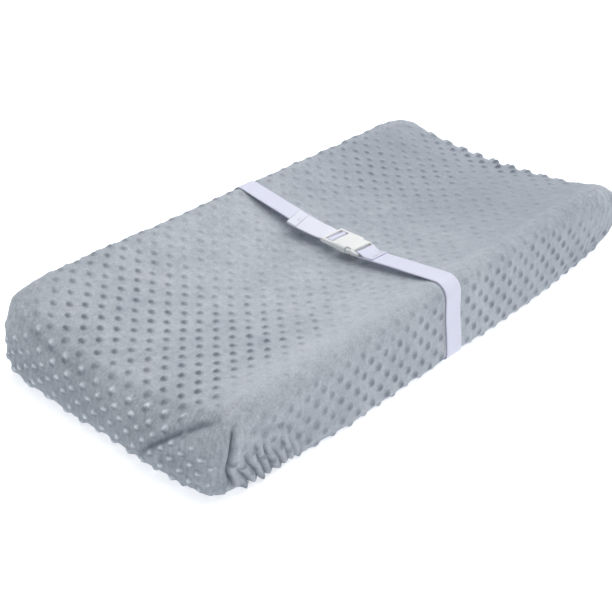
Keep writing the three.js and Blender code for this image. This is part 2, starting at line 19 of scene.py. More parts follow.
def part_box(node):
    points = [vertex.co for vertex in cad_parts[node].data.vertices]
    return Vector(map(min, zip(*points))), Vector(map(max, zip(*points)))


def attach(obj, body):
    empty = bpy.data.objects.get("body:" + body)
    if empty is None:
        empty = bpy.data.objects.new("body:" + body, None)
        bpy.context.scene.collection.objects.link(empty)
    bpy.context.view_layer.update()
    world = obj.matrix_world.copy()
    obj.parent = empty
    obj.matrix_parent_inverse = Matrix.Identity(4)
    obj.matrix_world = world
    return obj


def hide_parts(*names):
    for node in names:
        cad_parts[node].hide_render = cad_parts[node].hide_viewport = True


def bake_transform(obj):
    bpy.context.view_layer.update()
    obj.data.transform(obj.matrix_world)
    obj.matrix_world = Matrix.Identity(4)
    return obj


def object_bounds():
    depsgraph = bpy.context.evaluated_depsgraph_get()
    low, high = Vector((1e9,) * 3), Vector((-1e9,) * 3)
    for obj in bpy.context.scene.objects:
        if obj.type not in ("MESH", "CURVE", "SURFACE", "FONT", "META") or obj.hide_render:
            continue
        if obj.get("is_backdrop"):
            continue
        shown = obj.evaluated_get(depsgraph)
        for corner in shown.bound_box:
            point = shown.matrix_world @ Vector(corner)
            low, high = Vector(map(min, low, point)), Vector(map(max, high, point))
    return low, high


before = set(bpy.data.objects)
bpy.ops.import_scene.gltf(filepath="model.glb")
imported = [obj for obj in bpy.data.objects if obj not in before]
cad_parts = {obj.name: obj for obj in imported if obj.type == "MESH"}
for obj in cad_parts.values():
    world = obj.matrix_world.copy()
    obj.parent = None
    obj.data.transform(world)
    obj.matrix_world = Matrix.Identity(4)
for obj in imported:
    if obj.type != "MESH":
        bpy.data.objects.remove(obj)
CAD_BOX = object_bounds()

MM = 0.001
LOG = logging.getLogger("changing_pad")

# Where the strap's two halves run up the pad's sides.
NEAR_STRAP_X = -3 * MM
FAR_STRAP_X = 20 * MM

Colour = tuple[float, float, float]
Point = tuple[float, float, float]
Flat = tuple[float, float]

Piece = bpy.types.Object
Material = bpy.types.Material
Socket = bpy.types.NodeSocket
Solid = bmesh.types.BMesh


# ------------------------------------------------------------------ shared helpers


def smooth_step(low: float, high: float, value: np.ndarray | float) -> np.ndarray:
    """Rises smoothly from 0 at low to 1 at high."""
    t = np.clip((np.asarray(value, float) - low) / (high - low), 0, 1)
    return t * t * (3 - 2 * t)


def bell(value: np.ndarray | float, width: float) -> np.ndarray:
    """A smooth bump of height 1 at zero that fades over about the given width."""
    return np.exp(-((np.asarray(value, float) / width) ** 2))


def lengths_along(line: np.ndarray) -> np.ndarray:
    """Distance of each point of a line from its first one, along the line."""
    return np.concatenate([[0], np.cumsum(np.linalg.norm(np.diff(line, axis=0), axis=1))])


def strap_side_x(y: np.ndarray) -> np.ndarray:
    """X of the strap on the side of the pad that each Y is on."""
    return np.where(y < 0, NEAR_STRAP_X, FAR_STRAP_X)


def mesh_object(name: str, points: np.ndarray, faces: Iterable[Sequence[int]]) -> Piece:
    """Makes a smooth-shaded mesh object from points and faces.

    Args:
        name: The piece's name.
        points: Its points, one row each.
        faces: Point numbers of each face.

    Returns:
        The new object, linked to the scene.
    """
    mesh = bpy.data.meshes.new(name)
    mesh.from_pydata(np.asarray(points, float).tolist(), [], [tuple(map(int, f)) for f in faces])
    mesh.update()
    mesh.shade_smooth()
    piece = bpy.data.objects.new(name, mesh)
    bpy.context.scene.collection.objects.link(piece)
    return piece


def closed_tube(name: str, lines: Sequence[np.ndarray]) -> Piece:
    """Makes a tube whose two ends meet.

    Args:
        name: The piece's name.
        lines: Points along the tube, one line for each side of its section, in order round it.

    Returns:
        The tube.
    """
    points = np.stack(lines, axis=1)
    index = np.arange(points.shape[0] * points.shape[1]).reshape(points.shape[:2])
    after = np.roll(index, -1, axis=0)
    faces = np.stack([index, np.roll(index, -1, axis=1), np.roll(after, -1, axis=1), after], axis=-1)
    return mesh_object(name, points.reshape(-1, 3), faces.reshape(-1, 4))


def inwards_from(middle: np.ndarray) -> np.ndarray:
    """Level directions into the pad from each point of a closed line round it."""
    ahead = np.roll(middle, -1, axis=0) - np.roll(middle, 1, axis=0)
    ahead /= np.linalg.norm(ahead, axis=1, keepdims=True)
    return np.stack([-ahead[:, 1], ahead[:, 0]], axis=1)


def points_of(piece: Piece) -> np.ndarray:
    """The piece's points, one row each."""
    flat = np.empty(len(piece.data.vertices) * 3)
    piece.data.vertices.foreach_get("co", flat)
    return flat.reshape(-1, 3)


def normals_of(piece: Piece) -> np.ndarray:
    """The piece's point normals, one row each."""
    flat = np.empty(len(piece.data.vertices) * 3, np.float32)
    piece.data.vertex_normals.foreach_get("vector", flat)
    return flat.reshape(-1, 3).astype(float)


def move_points(piece: Piece, points: np.ndarray) -> None:
    """Puts the piece's points at new places."""
    piece.data.vertices.foreach_set("co", points.ravel())
    piece.data.update()


def apply_modifiers(piece: Piece) -> None:
    """Makes the piece's modifiers part of its mesh."""
    graph = bpy.context.evaluated_depsgraph_get()
    old = piece.data
    made = bpy.data.meshes.new_from_object(piece.evaluated_get(graph), depsgraph=graph)
    made.name = old.name
    piece.modifiers.clear()
    piece.data = made
    bpy.data.meshes.remove(old)


def point_values(piece: Piece, name: str, values: np.ndarray) -> None:
    """Stores one number for each point under a name that materials can read."""
    layer = piece.data.attributes.new(name, "FLOAT", "POINT")
    layer.data.foreach_set("value", np.asarray(values, np.float32))


def values_of(piece: Piece, name: str) -> np.ndarray:
    """The numbers that the piece's points carry under a name."""
    flat = np.empty(len(piece.data.vertices), np.float32)
    piece.data.attributes[name].data.foreach_get("value", flat)
    return flat.astype(float)


def put_on(piece: Piece, material: Material) -> None:
    """Gives the piece one material in place of any it had."""
    piece.data.materials.clear()
    piece.data.materials.append(material)


def settle(piece: Piece, body: str, material: Material, replaces: Sequence[str]) -> None:
    """Finishes a piece: its material, the body it rides on and the model pieces it stands for.

    Args:
        piece: The finished object.
        body: The moving body it rides on.
        material: Its material.
        replaces: Names of the plain pieces that it stands for.
    """
    put_on(piece, material)
    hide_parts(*replaces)
    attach(piece, body)
    LOG.info("%s rides on %s with %d faces", piece.name, body, len(piece.data.polygons))


def settle_between(
    piece: Piece, bodies: tuple[str, str], material: Material, replaces: Sequence[str]
) -> None:
    """Finishes a length of webbing that runs between two bodies; it is fixed where it is built and doesn't
    bend with them.

    Args:
        piece: The finished object.
        bodies: The body before its first end and the one after its second, which are only named in the log.
        material: Its material.
        replaces: Names of the plain pieces that it stands for.
    """
    put_on(piece, material)
    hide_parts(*replaces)
    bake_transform(piece)
    LOG.info("%s bends between %s and %s", piece.name, *bodies)


# ------------------------------------------------------------------ shader bench


class Bench:
    """Builds one material's node tree."""

    def __init__(self, name: str) -> None:
        """Starts an empty material of the given name."""
        self.material = bpy.data.materials.new(name)
        self.material.use_nodes = True
        self.nodes = self.material.node_tree.nodes
        self.links = self.material.node_tree.links
        self.nodes.clear()

    def add(self, kind: str, settings: dict | None = None, **inputs: object) -> bpy.types.Node:
        """Adds a node.

        Args:
            kind: The node's type without its ShaderNode prefix.
            settings: Properties to set on the node.
            inputs: Values or sockets for its inputs, by name with _ for a space.

        Returns:
            The new node.
        """
        node = self.nodes.new("ShaderNode" + kind)
        for key, value in (settings or {}).items():
            setattr(node, key, value)
        for key, value in inputs.items():
            self.feed(node.inputs[key.replace("_", " ")], value)
        return node

    def feed(self, socket: Socket, value: object) -> None:
        """Links a socket to another one, or sets its own value."""
        if isinstance(value, Socket):
            self.links.new(value, socket)
        elif isinstance(value, (tuple, list)) and len(value) == 3 and socket.type == "RGBA":
            socket.default_value = (*value, 1.0)
        else:
            socket.default_value = value

    def place(self) -> Socket:
        """Each point's place on the piece, in metres."""
        return self.add("TexCoord").outputs["Object"]

    def noise(self, where: Socket, scale: float, detail: float = 2.0) -> Socket:
        """A soft random pattern from 0 to 1, with about scale spots to a metre."""
        node = self.add("TexNoise", Vector=where, Scale=scale, Detail=detail, Roughness=0.55)
        return node.outputs["Fac"]

    def math(self, operation: str, first: object, second: object = 0.0) -> Socket:
        """One sum of two numbers or sockets."""
        node = self.add("Math", {"operation": operation})
        self.feed(node.inputs[0], first)
        self.feed(node.inputs[1], second)
        return node.outputs[0]

    def spread(
        self, value: object, low: float, high: float, to_low: float, to_high: float
    ) -> Socket:
        """Maps the stretch from low to high on to another one, with no overshoot."""
        node = self.add("MapRange", {"clamp": True})
        for socket, number in zip(node.inputs[:5], (value, low, high, to_low, to_high), strict=True):
            self.feed(socket, number)
        return node.outputs[0]

    def blend(self, share: object, first: object, second: object, mode: str = "MIX") -> Socket:
        """Mixes two colours."""
        node = self.add("Mix", {"data_type": "RGBA", "blend_type": mode})
        self.feed(node.inputs["Factor"], share)
        self.feed(node.inputs[6], first)
        self.feed(node.inputs[7], second)
        return node.outputs[2]

    def bump(self, height: object, distance: float, under: object = None, strength: float = 1.0) -> Socket:
        """Small relief from a height pattern, on top of any relief under it."""
        node = self.add("Bump", Height=height, Distance=distance, Strength=strength)
        if under is not None:
            self.feed(node.inputs["Normal"], under)
        return node.outputs[0]

    def surface(self, **inputs: object) -> Material:
        """Ends the tree in a Principled surface with the given inputs, and returns the material."""
        shader = self.add("BsdfPrincipled", None, **inputs)
        output = self.add("OutputMaterial")
        self.links.new(shader.outputs[0], output.inputs[0])
        return self.material


# ------------------------------------------------------------------ finishes


@dataclass(frozen=True)
class PlushFinish:
    """Short-pile plush whose pile leans in brushed patches, with painted shade and painted highlights on its
    dots, creases, sides and ends.
    """

    name: str = "grey_plush"
    deep: Colour = (0.375, 0.41, 0.455)
    # Lighter base tone, also the colour of the painted highlights on dot tops and along the near crest.
    light: Colour = (0.54, 0.57, 0.605)
    # Colour of the painted shade on the dots and in the creases and pleat troughs.
    painted_shadow: Colour = (0.13, 0.155, 0.195)
    # Colour of the painted shade towards +X, on the sides and low on the ends.
    away: Colour = (0.25, 0.28, 0.325)
    # Colour of the painted highlights on the upper side of the dots on the ends; also the sheen's tint.
    tip: Colour = (0.80, 0.85, 0.92)

    @staticmethod
    def value(bench: Bench, name: str) -> Socket:
        """A number that the cover's points carry."""
        return bench.add("Attribute", {"attribute_name": name}).outputs["Fac"]

    def material(self) -> Material:
        """Builds the plush material."""
        bench = Bench(self.name)
        place = bench.place()
        brushed = bench.noise(place, 14, 3)
        mottle = bench.noise(place, 110, 3)
        pile = bench.noise(place, 900, 2)
        grain = bench.noise(place, 330, 2)
        brushed, leaning = (bench.spread(pattern, 0.3, 0.7, 0, 0.5) for pattern in (brushed, mottle))
        lean = bench.math("ADD", brushed, leaning)
        tone = bench.blend(lean, self.deep, self.light)
        # Painted shade: darker towards +X, on the sides and low on the ends.
        tone = bench.blend(self.value(bench, "lay"), tone, self.away)
        # Painted highlights on dot tops, along the near crest and on the upper side of the dots on the ends;
        # painted shade on the dots and in the creases and pleat troughs.
        washes = (
            ("dot", 0.5, self.light),
            ("gleam", 0.8, self.tip),
            ("nap", 0.8, self.painted_shadow),
            ("valley", 0.7, self.painted_shadow),
        )
        for name, most, colour in washes:
            tone = bench.blend(bench.math("MULTIPLY", self.value(bench, name), most), tone, colour)
        lengthways = bench.add("VectorMath", {"operation": "MULTIPLY"})
        bench.feed(lengthways.inputs[0], place)
        bench.feed(lengthways.inputs[1], (1.0, 1.0, 0.1))
        streaks = bench.spread(bench.noise(lengthways.outputs[0], 260, 2), 0.3, 0.7, -0.13, 0.13)
        streaks = bench.math("MULTIPLY", streaks, self.value(bench, "drawn"))
        fine, coarse = bench.spread(pile, 0.25, 0.75, 0.84, 1.12), bench.spread(grain, 0.3, 0.7, 0.9, 1.1)
        tufts = bench.math("ADD", bench.math("MULTIPLY", fine, coarse), streaks)
        grey = bench.add("CombineColor", Red=tufts, Green=tufts, Blue=tufts).outputs[0]
        tone = bench.blend(1.0, tone, grey, "MULTIPLY")
        relief = bench.bump(mottle, 1.2 * MM, None, 0.35)
        relief = bench.bump(grain, 1.0 * MM, relief, 0.4)
        relief = bench.bump(pile, 0.9 * MM, relief, 0.6)
        return bench.surface(
            Base_Color=tone,
            Roughness=1.0,
            Normal=relief,
            Specular_IOR_Level=0.1,
            Sheen_Weight=0.55,
            Sheen_Roughness=0.45,
            Sheen_Tint=self.tip,
        )


@dataclass(frozen=True)
class WebbingFinish:
    """Flat woven tape: ribs along it, and the picks that cross them."""

    name: str = "white_webbing"
    thread: Colour = (0.80, 0.81, 0.93)
    shade: Colour = (0.66, 0.67, 0.82)
    pitch: float = 1.3 * MM

    def material(self) -> Material:
        """Builds the webbing material."""
        bench = Bench(self.name)
        flat = bench.add("UVMap", {"uv_map": "tape"}).outputs[0]
        axes = bench.add("SeparateXYZ", Vector=flat)
        turn = 2 * math.pi / self.pitch
        across = bench.math("MULTIPLY", axes.outputs[1], turn)
        along = bench.math("MULTIPLY", axes.outputs[0], turn)
        ribs = bench.math("SINE", across)
        shifted = bench.math("ADD", along, bench.math("MULTIPLY", bench.math("SIGN", ribs), math.pi / 2))
        weave = bench.math("MULTIPLY", bench.math("ABSOLUTE", ribs), bench.math("SINE", shifted))
        place = bench.place()
        wear = bench.noise(place, 60, 3)
        fuzz = bench.noise(place, 1500, 2)
        height = bench.spread(weave, -1, 1, 0, 1)
        # Painted shade in the weave's low places; worn patches darken it a little more.
        tone = bench.blend(bench.spread(height, 0, 1, 0.75, 0), self.thread, self.shade)
        tone = bench.blend(bench.spread(wear, 0.35, 0.7, 0, 0.25), tone, self.shade)
        relief = bench.bump(height, 0.22 * MM, None, 0.9)
        relief = bench.bump(fuzz, 0.1 * MM, relief, 0.3)
        return bench.surface(
            Base_Color=tone,
            Roughness=bench.spread(fuzz, 0.2, 0.8, 0.55, 0.75),
            Normal=relief,
            Specular_IOR_Level=0.3,
            Sheen_Weight=0.25,
            Sheen_Roughness=0.5,
        )


@dataclass(frozen=True)
class PlasticFinish:
    """Satin moulded plastic with the faint grain of its mould."""

    name: str = "buckle_plastic"
    colour: Colour = (0.83, 0.84, 0.82)
    shade: Colour = (0.74, 0.75, 0.74)

    def material(self) -> Material:
        """Builds the plastic material."""
        bench = Bench(self.name)
        place = bench.place()
        cloud = bench.noise(place, 45, 3)
        grain = bench.noise(place, 2600, 2)
        tone = bench.blend(bench.spread(cloud, 0.35, 0.75, 0, 0.35), self.colour, self.shade)
        return bench.surface(
            Base_Color=tone,
            Roughness=bench.spread(cloud, 0.3, 0.7, 0.34, 0.46),
            Normal=bench.bump(grain, 0.05 * MM, None, 0.4),
            Subsurface_Weight=0.08,
            Subsurface_Scale=0.004,
            Specular_IOR_Level=0.5,
        )


@dataclass(frozen=True)
class SoftSheetFinish:
    """Flexible vinyl with a fine leather-like grain, or another soft sheet of one colour."""

    name: str
    colour: Colour
    shade: Colour
    grain: float = 420.0
    roughness: float = 0.5
    depth: float = 0.25 * MM

    def material(self) -> Material:
        """Builds the sheet's material."""
        bench = Bench(self.name)
        place = bench.place()
        cells = bench.add("TexVoronoi", Vector=place, Scale=self.grain).outputs["Distance"]
        cloud = bench.noise(place, 30, 3)
        tone = bench.blend(bench.spread(cloud, 0.3, 0.7, 0, 0.6), self.colour, self.shade)
        return bench.surface(
            Base_Color=tone,
            Roughness=bench.spread(cloud, 0.3, 0.7, self.roughness - 0.06, self.roughness + 0.06),
            Normal=bench.bump(cells, self.depth, None, 0.5),
        )


@dataclass(frozen=True)
class ThreadFinish:
    """Twisted sewing thread."""

    name: str = "white_thread"
    colour: Colour = (0.86, 0.86, 0.90)
    shade: Colour = (0.68, 0.68, 0.76)

    def material(self) -> Material:
        """Builds the thread's material."""
        bench = Bench(self.name)
        place = bench.place()
        twist = bench.add("TexWave", {"bands_direction": "DIAGONAL"}, Vector=place, Scale=900, Distortion=1.0)
        # Painted shade in the twist's low places.
        tone = bench.blend(twist.outputs["Fac"], self.shade, self.colour)
        return bench.surface(
            Base_Color=tone,
            Roughness=0.55,
            Normal=bench.bump(twist.outputs["Fac"], 0.1 * MM, None, 0.6),
            Sheen_Weight=0.3,
        )


@dataclass(frozen=True)
class Finishes:
    """Every finish of the pad, built once."""

    plush: Material
    webbing: Material
    webbing_back: Material
    plastic: Material
    vinyl: Material
    base: Material
    foam: Material
    elastic: Material
    thread: Material

    @classmethod
    def build(cls) -> "Finishes":
        """Builds all the materials."""
        soft = SoftSheetFinish
        return cls(
            plush=PlushFinish().material(),
            webbing=WebbingFinish().material(),
            # A lighter copy of the webbing for the tail: painted light where the tail tilts towards the lamp.
            webbing_back=WebbingFinish("webbing_back", (0.87, 0.88, 0.96), (0.78, 0.79, 0.90)).material(),
            plastic=PlasticFinish().material(),
            vinyl=soft("white_vinyl", (0.80, 0.80, 0.78), (0.72, 0.72, 0.70), 500, 0.42).material(),
            base=soft("grip_vinyl", (0.56, 0.58, 0.61), (0.48, 0.50, 0.54), 700, 0.6).material(),
            foam=soft("foam_cells", (0.82, 0.75, 0.50), (0.72, 0.64, 0.40), 900, 0.9, 0.8 * MM).material(),
            elastic=soft("elastic_tape", (0.84, 0.84, 0.82), (0.72, 0.72, 0.71), 1200, 0.8).material(),
            thread=ThreadFinish().material(),
        )


# ------------------------------------------------------------------ the pad's form


class Side(Enum):
    """The two long sides, by the sign of their Y."""

    NEAR = -1
    FAR = 1


@dataclass(frozen=True)
class PadForm:
    """The covered pad's shape: its outline, cradle and edges."""

    half_length: float
    half_width: float
    corner: float = 34 * MM
    dip: float = 79 * MM
    rise: float = 31 * MM
    reach: float = 183 * MM
    edge_reach: float = 25 * MM
    edge_drop: float = 30 * MM
    lean: float = 1.5 * MM
    foot: float = 10 * MM
    underside: float = 1.7 * MM
    turn_under: float = 58 * MM
    top_inset: float = 34 * MM

    def sunk(self, depth: float, underside: float, turn_under: float) -> "PadForm":
        """The same pad without its outermost layer.

        Args:
            depth: How thick that layer is.
            underside: Height of the new form's underside.
            turn_under: How far the new form reaches in underneath.

        Returns:
            The smaller form.
        """
        return replace(
            self,
            corner=self.corner + 18 * MM,
            half_length=self.half_length - depth,
            half_width=self.half_width - depth,
            dip=self.dip - depth,
            edge_reach=self.edge_reach - depth,
            edge_drop=self.edge_drop - depth,
            foot=self.foot - depth,
            underside=underside,
            turn_under=turn_under,
            top_inset=self.top_inset - depth,
        )

    def crown(self, y: np.ndarray | float) -> np.ndarray:
        """Height of the cradle's surface, before its edges are rounded."""
        return self.dip + self.rise * (np.asarray(y, float) / self.reach) ** 2

    def outline(self, inset: float, long_cells: int, short_cells: int) -> np.ndarray:
        """Points round the pad at an inset from its outline.

        Args:
            inset: Distance in from the outline.
            long_cells: Steps along each long side, from corner middle to corner middle.
            short_cells: Steps along each end.

        Returns:
            The points, anticlockwise from the middle of the -X -Y corner.
        """
        radius = max(self.corner * (1 - inset / self.half_width), 1 * MM)
        straight_x = self.half_length - inset - radius
        straight_y = self.half_width - inset - radius
        arc = radius * math.pi / 4
        sides = []
        for turn in range(4):
            cells, half, depth = (
                (short_cells, straight_y, straight_x) if turn % 2 else (long_cells, straight_x, straight_y)
            )
            run = np.linspace(-half - arc, half + arc, cells, endpoint=False)
            over = np.clip(np.abs(run) - half, 0, None) / radius
            along = np.sign(run) * (np.minimum(np.abs(run), half) + radius * np.sin(over))
            out = -depth - radius * np.cos(over)
            cos, sin = ((1, 0), (0, 1), (-1, 0), (0, -1))[turn]
            sides.append(np.stack([along * cos - out * sin, along * sin + out * cos], axis=1))
        return np.concatenate(sides)

    def rings(self, step: float) -> list[tuple[float, float, float]]:
        """The rings from the top's edge to the hem.

        Args:
            step: Rough distance between rings.

        Returns:
            For each ring its inset, its share of the crown's height and its height besides.
        """
        rings = []
        shelf = max(1, round((self.top_inset - self.edge_reach) / step))
        for i in range(shelf):
            rings.append((self.top_inset + (self.edge_reach - self.top_inset) * i / shelf, 1.0, 0.0))
        round_steps = max(3, round(1.4 * self.edge_drop / step))
        for i in range(round_steps):
            angle = math.pi / 2 * i / round_steps
            inset = self.lean + (self.edge_reach - self.lean) * (1 - math.sin(angle))
            rings.append((inset, 1.0, -self.edge_drop * (1 - math.cos(angle))))
        low = self.underside + self.foot
        side_steps = max(3, round((self.dip + self.rise - self.edge_drop - low) / step))
        for i in range(side_steps):
            share = i / side_steps
            up = low * share - self.edge_drop * (1 - share)
            rings.append((self.lean * (1 - share) ** 2, 1 - share, up))
        foot_steps = max(2, round(1.5 * self.foot / step))
        for i in range(foot_steps):
            angle = math.pi / 2 * i / foot_steps
            rings.append((self.foot * (1 - math.cos(angle)), 0.0, low - self.foot * math.sin(angle)))
        under_steps = max(1, round((self.turn_under - self.foot) / step))
        for i in range(under_steps + 1):
            rings.append((self.foot + (self.turn_under - self.foot) * i / under_steps, 0.0, self.underside))
        return rings

    def eased(self, places: np.ndarray) -> np.ndarray:
        """The places once the ends have rounded over and the bottom has drawn in at the corners."""
        x, y, z = places.T
        ahead = self.half_length - np.abs(x)
        aside = self.half_width - np.abs(y)
        over = np.clip(1 - ahead / (78 * MM), 0, 1) ** 1.9 * smooth_step(22 * MM, 88 * MM, z)
        filled = 8 * MM * smooth_step(-60 * MM, 330 * MM, x) * bell(y, 130 * MM)
        filled *= smooth_step(40 * MM, 75 * MM, z)
        drop = np.where(x < 0, 17 * MM, 8 * MM) * over - filled
        low = smooth_step(75 * MM, 6 * MM, z)
        belly = 5 * MM * smooth_step(2 * MM, 30 * MM, z) * smooth_step(104 * MM, 60 * MM, z)
        out_low = np.where(x < 0, 10 * MM, 7 * MM)
        bulge = low * (out_low - 8 * MM * smooth_step(80 * MM, 0, aside)) + belly
        flare = low * (15 * MM * smooth_step(0, 230 * MM, ahead) - 9 * MM)
        full = 9 * MM * bell(np.hypot(ahead, aside), 75 * MM) * (x > 0)
        full *= smooth_step(4 * MM, 34 * MM, z) * smooth_step(112 * MM, 84 * MM, z)
        return np.stack(
            [
                x + np.sign(x) * (bulge * smooth_step(60 * MM, 0, ahead) + 0.8 * full),
                y + np.sign(y) * (flare * smooth_step(60 * MM, 0, aside) + full),
                z - drop,
            ],
            axis=1,
        )

    def section(self, step: float, x: float) -> np.ndarray:
        """Distance from the middle line and height of the surface across the pad, from the cradle out.

        Args:
            step: Rough distance between points.
            x: Where the section is taken.

        Returns:
            One row for each point.
        """
        out = np.arange(100 * MM, self.half_width - self.top_inset, step)
        top = [(y, float(self.crown(y))) for y in out]
        rings = [
            (self.half_width - i, share * float(self.crown(self.half_width - i)) + z)
            for i, share, z in self.rings(step)
        ]
        flat = np.array([*top, *rings])
        return self.eased(np.column_stack([np.full(len(flat), x), flat]))[:, 1:]


class RingedGrid:
    """A fitted sheet laid out as a patch over the top and rings round the sides.

    Its side panels meet in four corner seams, which run down from the patch's corners.
    """

    def __init__(self, form: PadForm, step: float) -> None:
        """Lays out the points and faces, and where each point lies on the flat cloth.

        Args:
            form: The shape it fits.
            step: Rough size of a face.
        """
        self.form = form
        nx = self.long_cells = 2 * round((form.half_length - form.top_inset) / step)
        ny = self.short_cells = 2 * round((form.half_width - form.top_inset) / step)
        around = 2 * (nx + ny)
        rings = form.rings(step)
        loops = np.empty((len(rings), around, 3))
        for r, (inset, share, height) in enumerate(rings):
            loops[r, :, :2] = form.outline(inset, nx, ny)
            loops[r, :, 2] = share * form.crown(loops[r, :, 1]) + height
        self.loops = loops
        patch = self._patch(loops[0])
        number = np.zeros((nx + 1, ny + 1), int)
        inner = len(rings) * around + np.arange((nx - 1) * (ny - 1)).reshape(nx - 1, ny - 1)
        number[1:-1, 1:-1] = inner
        number[:-1, 0] = np.arange(nx)
        number[-1, :-1] = nx + np.arange(ny)
        number[1:, -1] = (nx + ny + np.arange(nx))[::-1]
        number[0, 1:] = (2 * nx + ny + np.arange(ny))[::-1]
        inside = patch[1:-1, 1:-1].reshape(-1, 3)
        self.places = form.eased(np.concatenate([loops.reshape(-1, 3), inside]))
        top = np.stack([number[:-1, :-1], number[1:, :-1], number[1:, 1:], number[:-1, 1:]], axis=-1)
        here = np.arange(around)
        after = (here + 1) % around
        bands = [
            np.stack([r + here, r + around + here, r + around + after, r + after], axis=1)
            for r in range(0, (len(rings) - 1) * around, around)
        ]
        self.faces = np.concatenate([top.reshape(-1, 4), *bands])
        self.down, self.seam, self.cloth = self._roll_out(inside)

    def _patch(self, rim: np.ndarray) -> np.ndarray:
        """Fills the top inside its rim, keeping rows and columns even."""
        nx, ny = self.long_cells, self.short_cells
        near = rim[: nx + 1]
        right = rim[nx : nx + ny + 1]
        far = rim[nx + ny : 2 * nx + ny + 1][::-1]
        left = np.concatenate([rim[2 * nx + ny :], rim[:1]])[::-1]
        u = np.linspace(0, 1, nx + 1)[:, None, None]
        v = np.linspace(0, 1, ny + 1)[None, :, None]
        flat = (1 - v) * near[:, None] + v * far[:, None] + (1 - u) * left[None] + u * right[None]
        flat = flat - (
            (1 - u) * (1 - v) * near[0] + u * (1 - v) * near[-1] + u * v * far[-1] + (1 - u) * v * far[0]
        )
        flat[..., 2] = self.form.crown(flat[..., 1])
        return flat

    def _roll_out(self, inside: np.ndarray) -> tuple[np.ndarray, np.ndarray, np.ndarray]:
        """Measures every point on the cloth.

        Args:
            inside: The points inside the top patch.

        Returns:
            Distance down from the top patch, distance from the nearest corner seam, and the place
            on the flat cloth.
        """
        nx, ny = self.long_cells, self.short_cells
        loops = self.loops
        steps = np.linalg.norm(np.diff(loops, axis=0), axis=2)
        down = np.concatenate([np.zeros((1, loops.shape[1])), np.cumsum(steps, axis=0)])
        cloth = np.empty((*loops.shape[:2], 2))
        seam = np.empty(loops.shape[:2])
        start = 0
        for turn, cells in enumerate((nx, ny, nx, ny)):
            index = np.arange(start, start + cells)
            start += cells
            axis = turn % 2
            outwards = (-1, 1, 1, -1)[turn]
            half = (self.form.half_length, self.form.half_width)[axis] - self.form.corner * (1 - math.pi / 4)
            run = np.linspace(-half, half, cells, endpoint=False) * (1 if turn < 2 else -1)
            edge = loops[0, index, :2]
            share = smooth_step(0, 45 * MM, down[:, index])
            cloth[:, index, axis] = edge[:, axis] + (run - edge[:, axis]) * share
            cloth[:, index, 1 - axis] = edge[:, 1 - axis] + outwards * down[:, index]
            seam[:, index] = np.minimum(half - run, half + run)
        return (
            np.concatenate([down.ravel(), np.zeros(len(inside))]),
            np.concatenate([seam.ravel(), np.full(len(inside), 1.0)]),
            np.concatenate([cloth.reshape(-1, 2), inside[:, :2]]),
        )

    def piece(self, name: str, closed: bool = False) -> Piece:
        """Makes the grid a mesh object, closed underneath by a flat face if asked."""
        faces = self.faces.tolist()
        if closed:
            around = self.loops.shape[1]
            last = (self.loops.shape[0] - 1) * around
            faces.append(list(range(last, last + around))[::-1])
        return mesh_object(name, self.places, faces)


# ------------------------------------------------------------------ the plush cover


def rolling(places: np.ndarray, wave: float, seed: int) -> np.ndarray:
    """Slow unevenness between about -1 and 1 over all the given places.

    Args:
        places: Points in space.
        wave: Rough distance from one rise to the next.
        seed: Picks the pattern.

    Returns:
        One number for each place.
    """
    random = np.random.default_rng(seed)
    total = np.zeros(len(places))
    for _ in range(7):
        way = random.normal(size=3)
        way *= 2 * math.pi / (wave * random.uniform(0.7, 1.5) * np.linalg.norm(way))
        total += np.sin(places @ way + random.uniform(0, 2 * math.pi))
    return total / 3.2


def distance_to_line(places: np.ndarray, line: Sequence[Point]) -> tuple[np.ndarray, np.ndarray]:
    """Distance of each place from a line through points, and how far along it the nearest part is.

    Args:
        places: Points in space.
        line: The line's points.

    Returns:
        The distances, and the shares of the line's length.
    """
    knots = np.array(line, float)
    lengths = np.linalg.norm(np.diff(knots, axis=0), axis=1)
    total = lengths.sum()
    best = np.full(len(places), np.inf)
    share = np.zeros(len(places))
    passed = 0.0
    for start, end, length in zip(knots[:-1], knots[1:], lengths, strict=True):
        way = (end - start) / length
        t = np.clip((places - start) @ way, 0, length)
        away = np.linalg.norm(places - start - t[:, None] * way, axis=1)
        closer = away < best
        best = np.where(closer, away, best)
        share = np.where(closer, (passed + t) / total, share)
        passed += length
    return best, share


@dataclass(frozen=True)
class DotPattern:
    """Raised dots in staggered rows on the flat cloth."""

    pitch: Flat = (27.5 * MM, 29 * MM)
    radius: float = 6.4 * MM
    height: float = 3.0 * MM

    def rise(self, cloth: np.ndarray, loose: np.ndarray) -> tuple[np.ndarray, np.ndarray]:
        """Shapes the dots.

        Args:
            cloth: Places on the flat cloth.
            loose: How uneven the dots are at each place, from 0 to 1.

        Returns:
            Share of a dot's height at each place, and how far the place is towards its dot's -X
            side, from -1 to 1.
        """
        best, towards = np.zeros(len(cloth)), np.zeros(len(cloth))
        stray = (1.4 + 2.0 * loose) * MM
        for shift in (0.0, 0.5):
            # Each dot strays by an amount that its cell's numbers scramble into.
            cell = np.round(cloth / self.pitch - shift)
            random = np.sin(cell @ np.array([12.9898, 78.233]) + shift * 37.7) * 43758.5453
            jitter = random - np.floor(random)
            away = cloth - (cell + shift) * self.pitch
            away[:, 0] += (jitter - 0.5) * stray
            away[:, 1] += (np.mod(jitter * 7.3, 1) - 0.5) * stray
            r = np.linalg.norm(away, axis=1) / self.radius
            dome = np.clip(1 - r**2, 0, None) ** 1.25
            dome *= 1.1 - (0.25 + 0.5 * loose) * np.mod(jitter * 3.1, 1)
            towards = np.where(dome > best, -away[:, 0] / self.radius, towards)
            best = np.maximum(best, dome)
        return best, towards


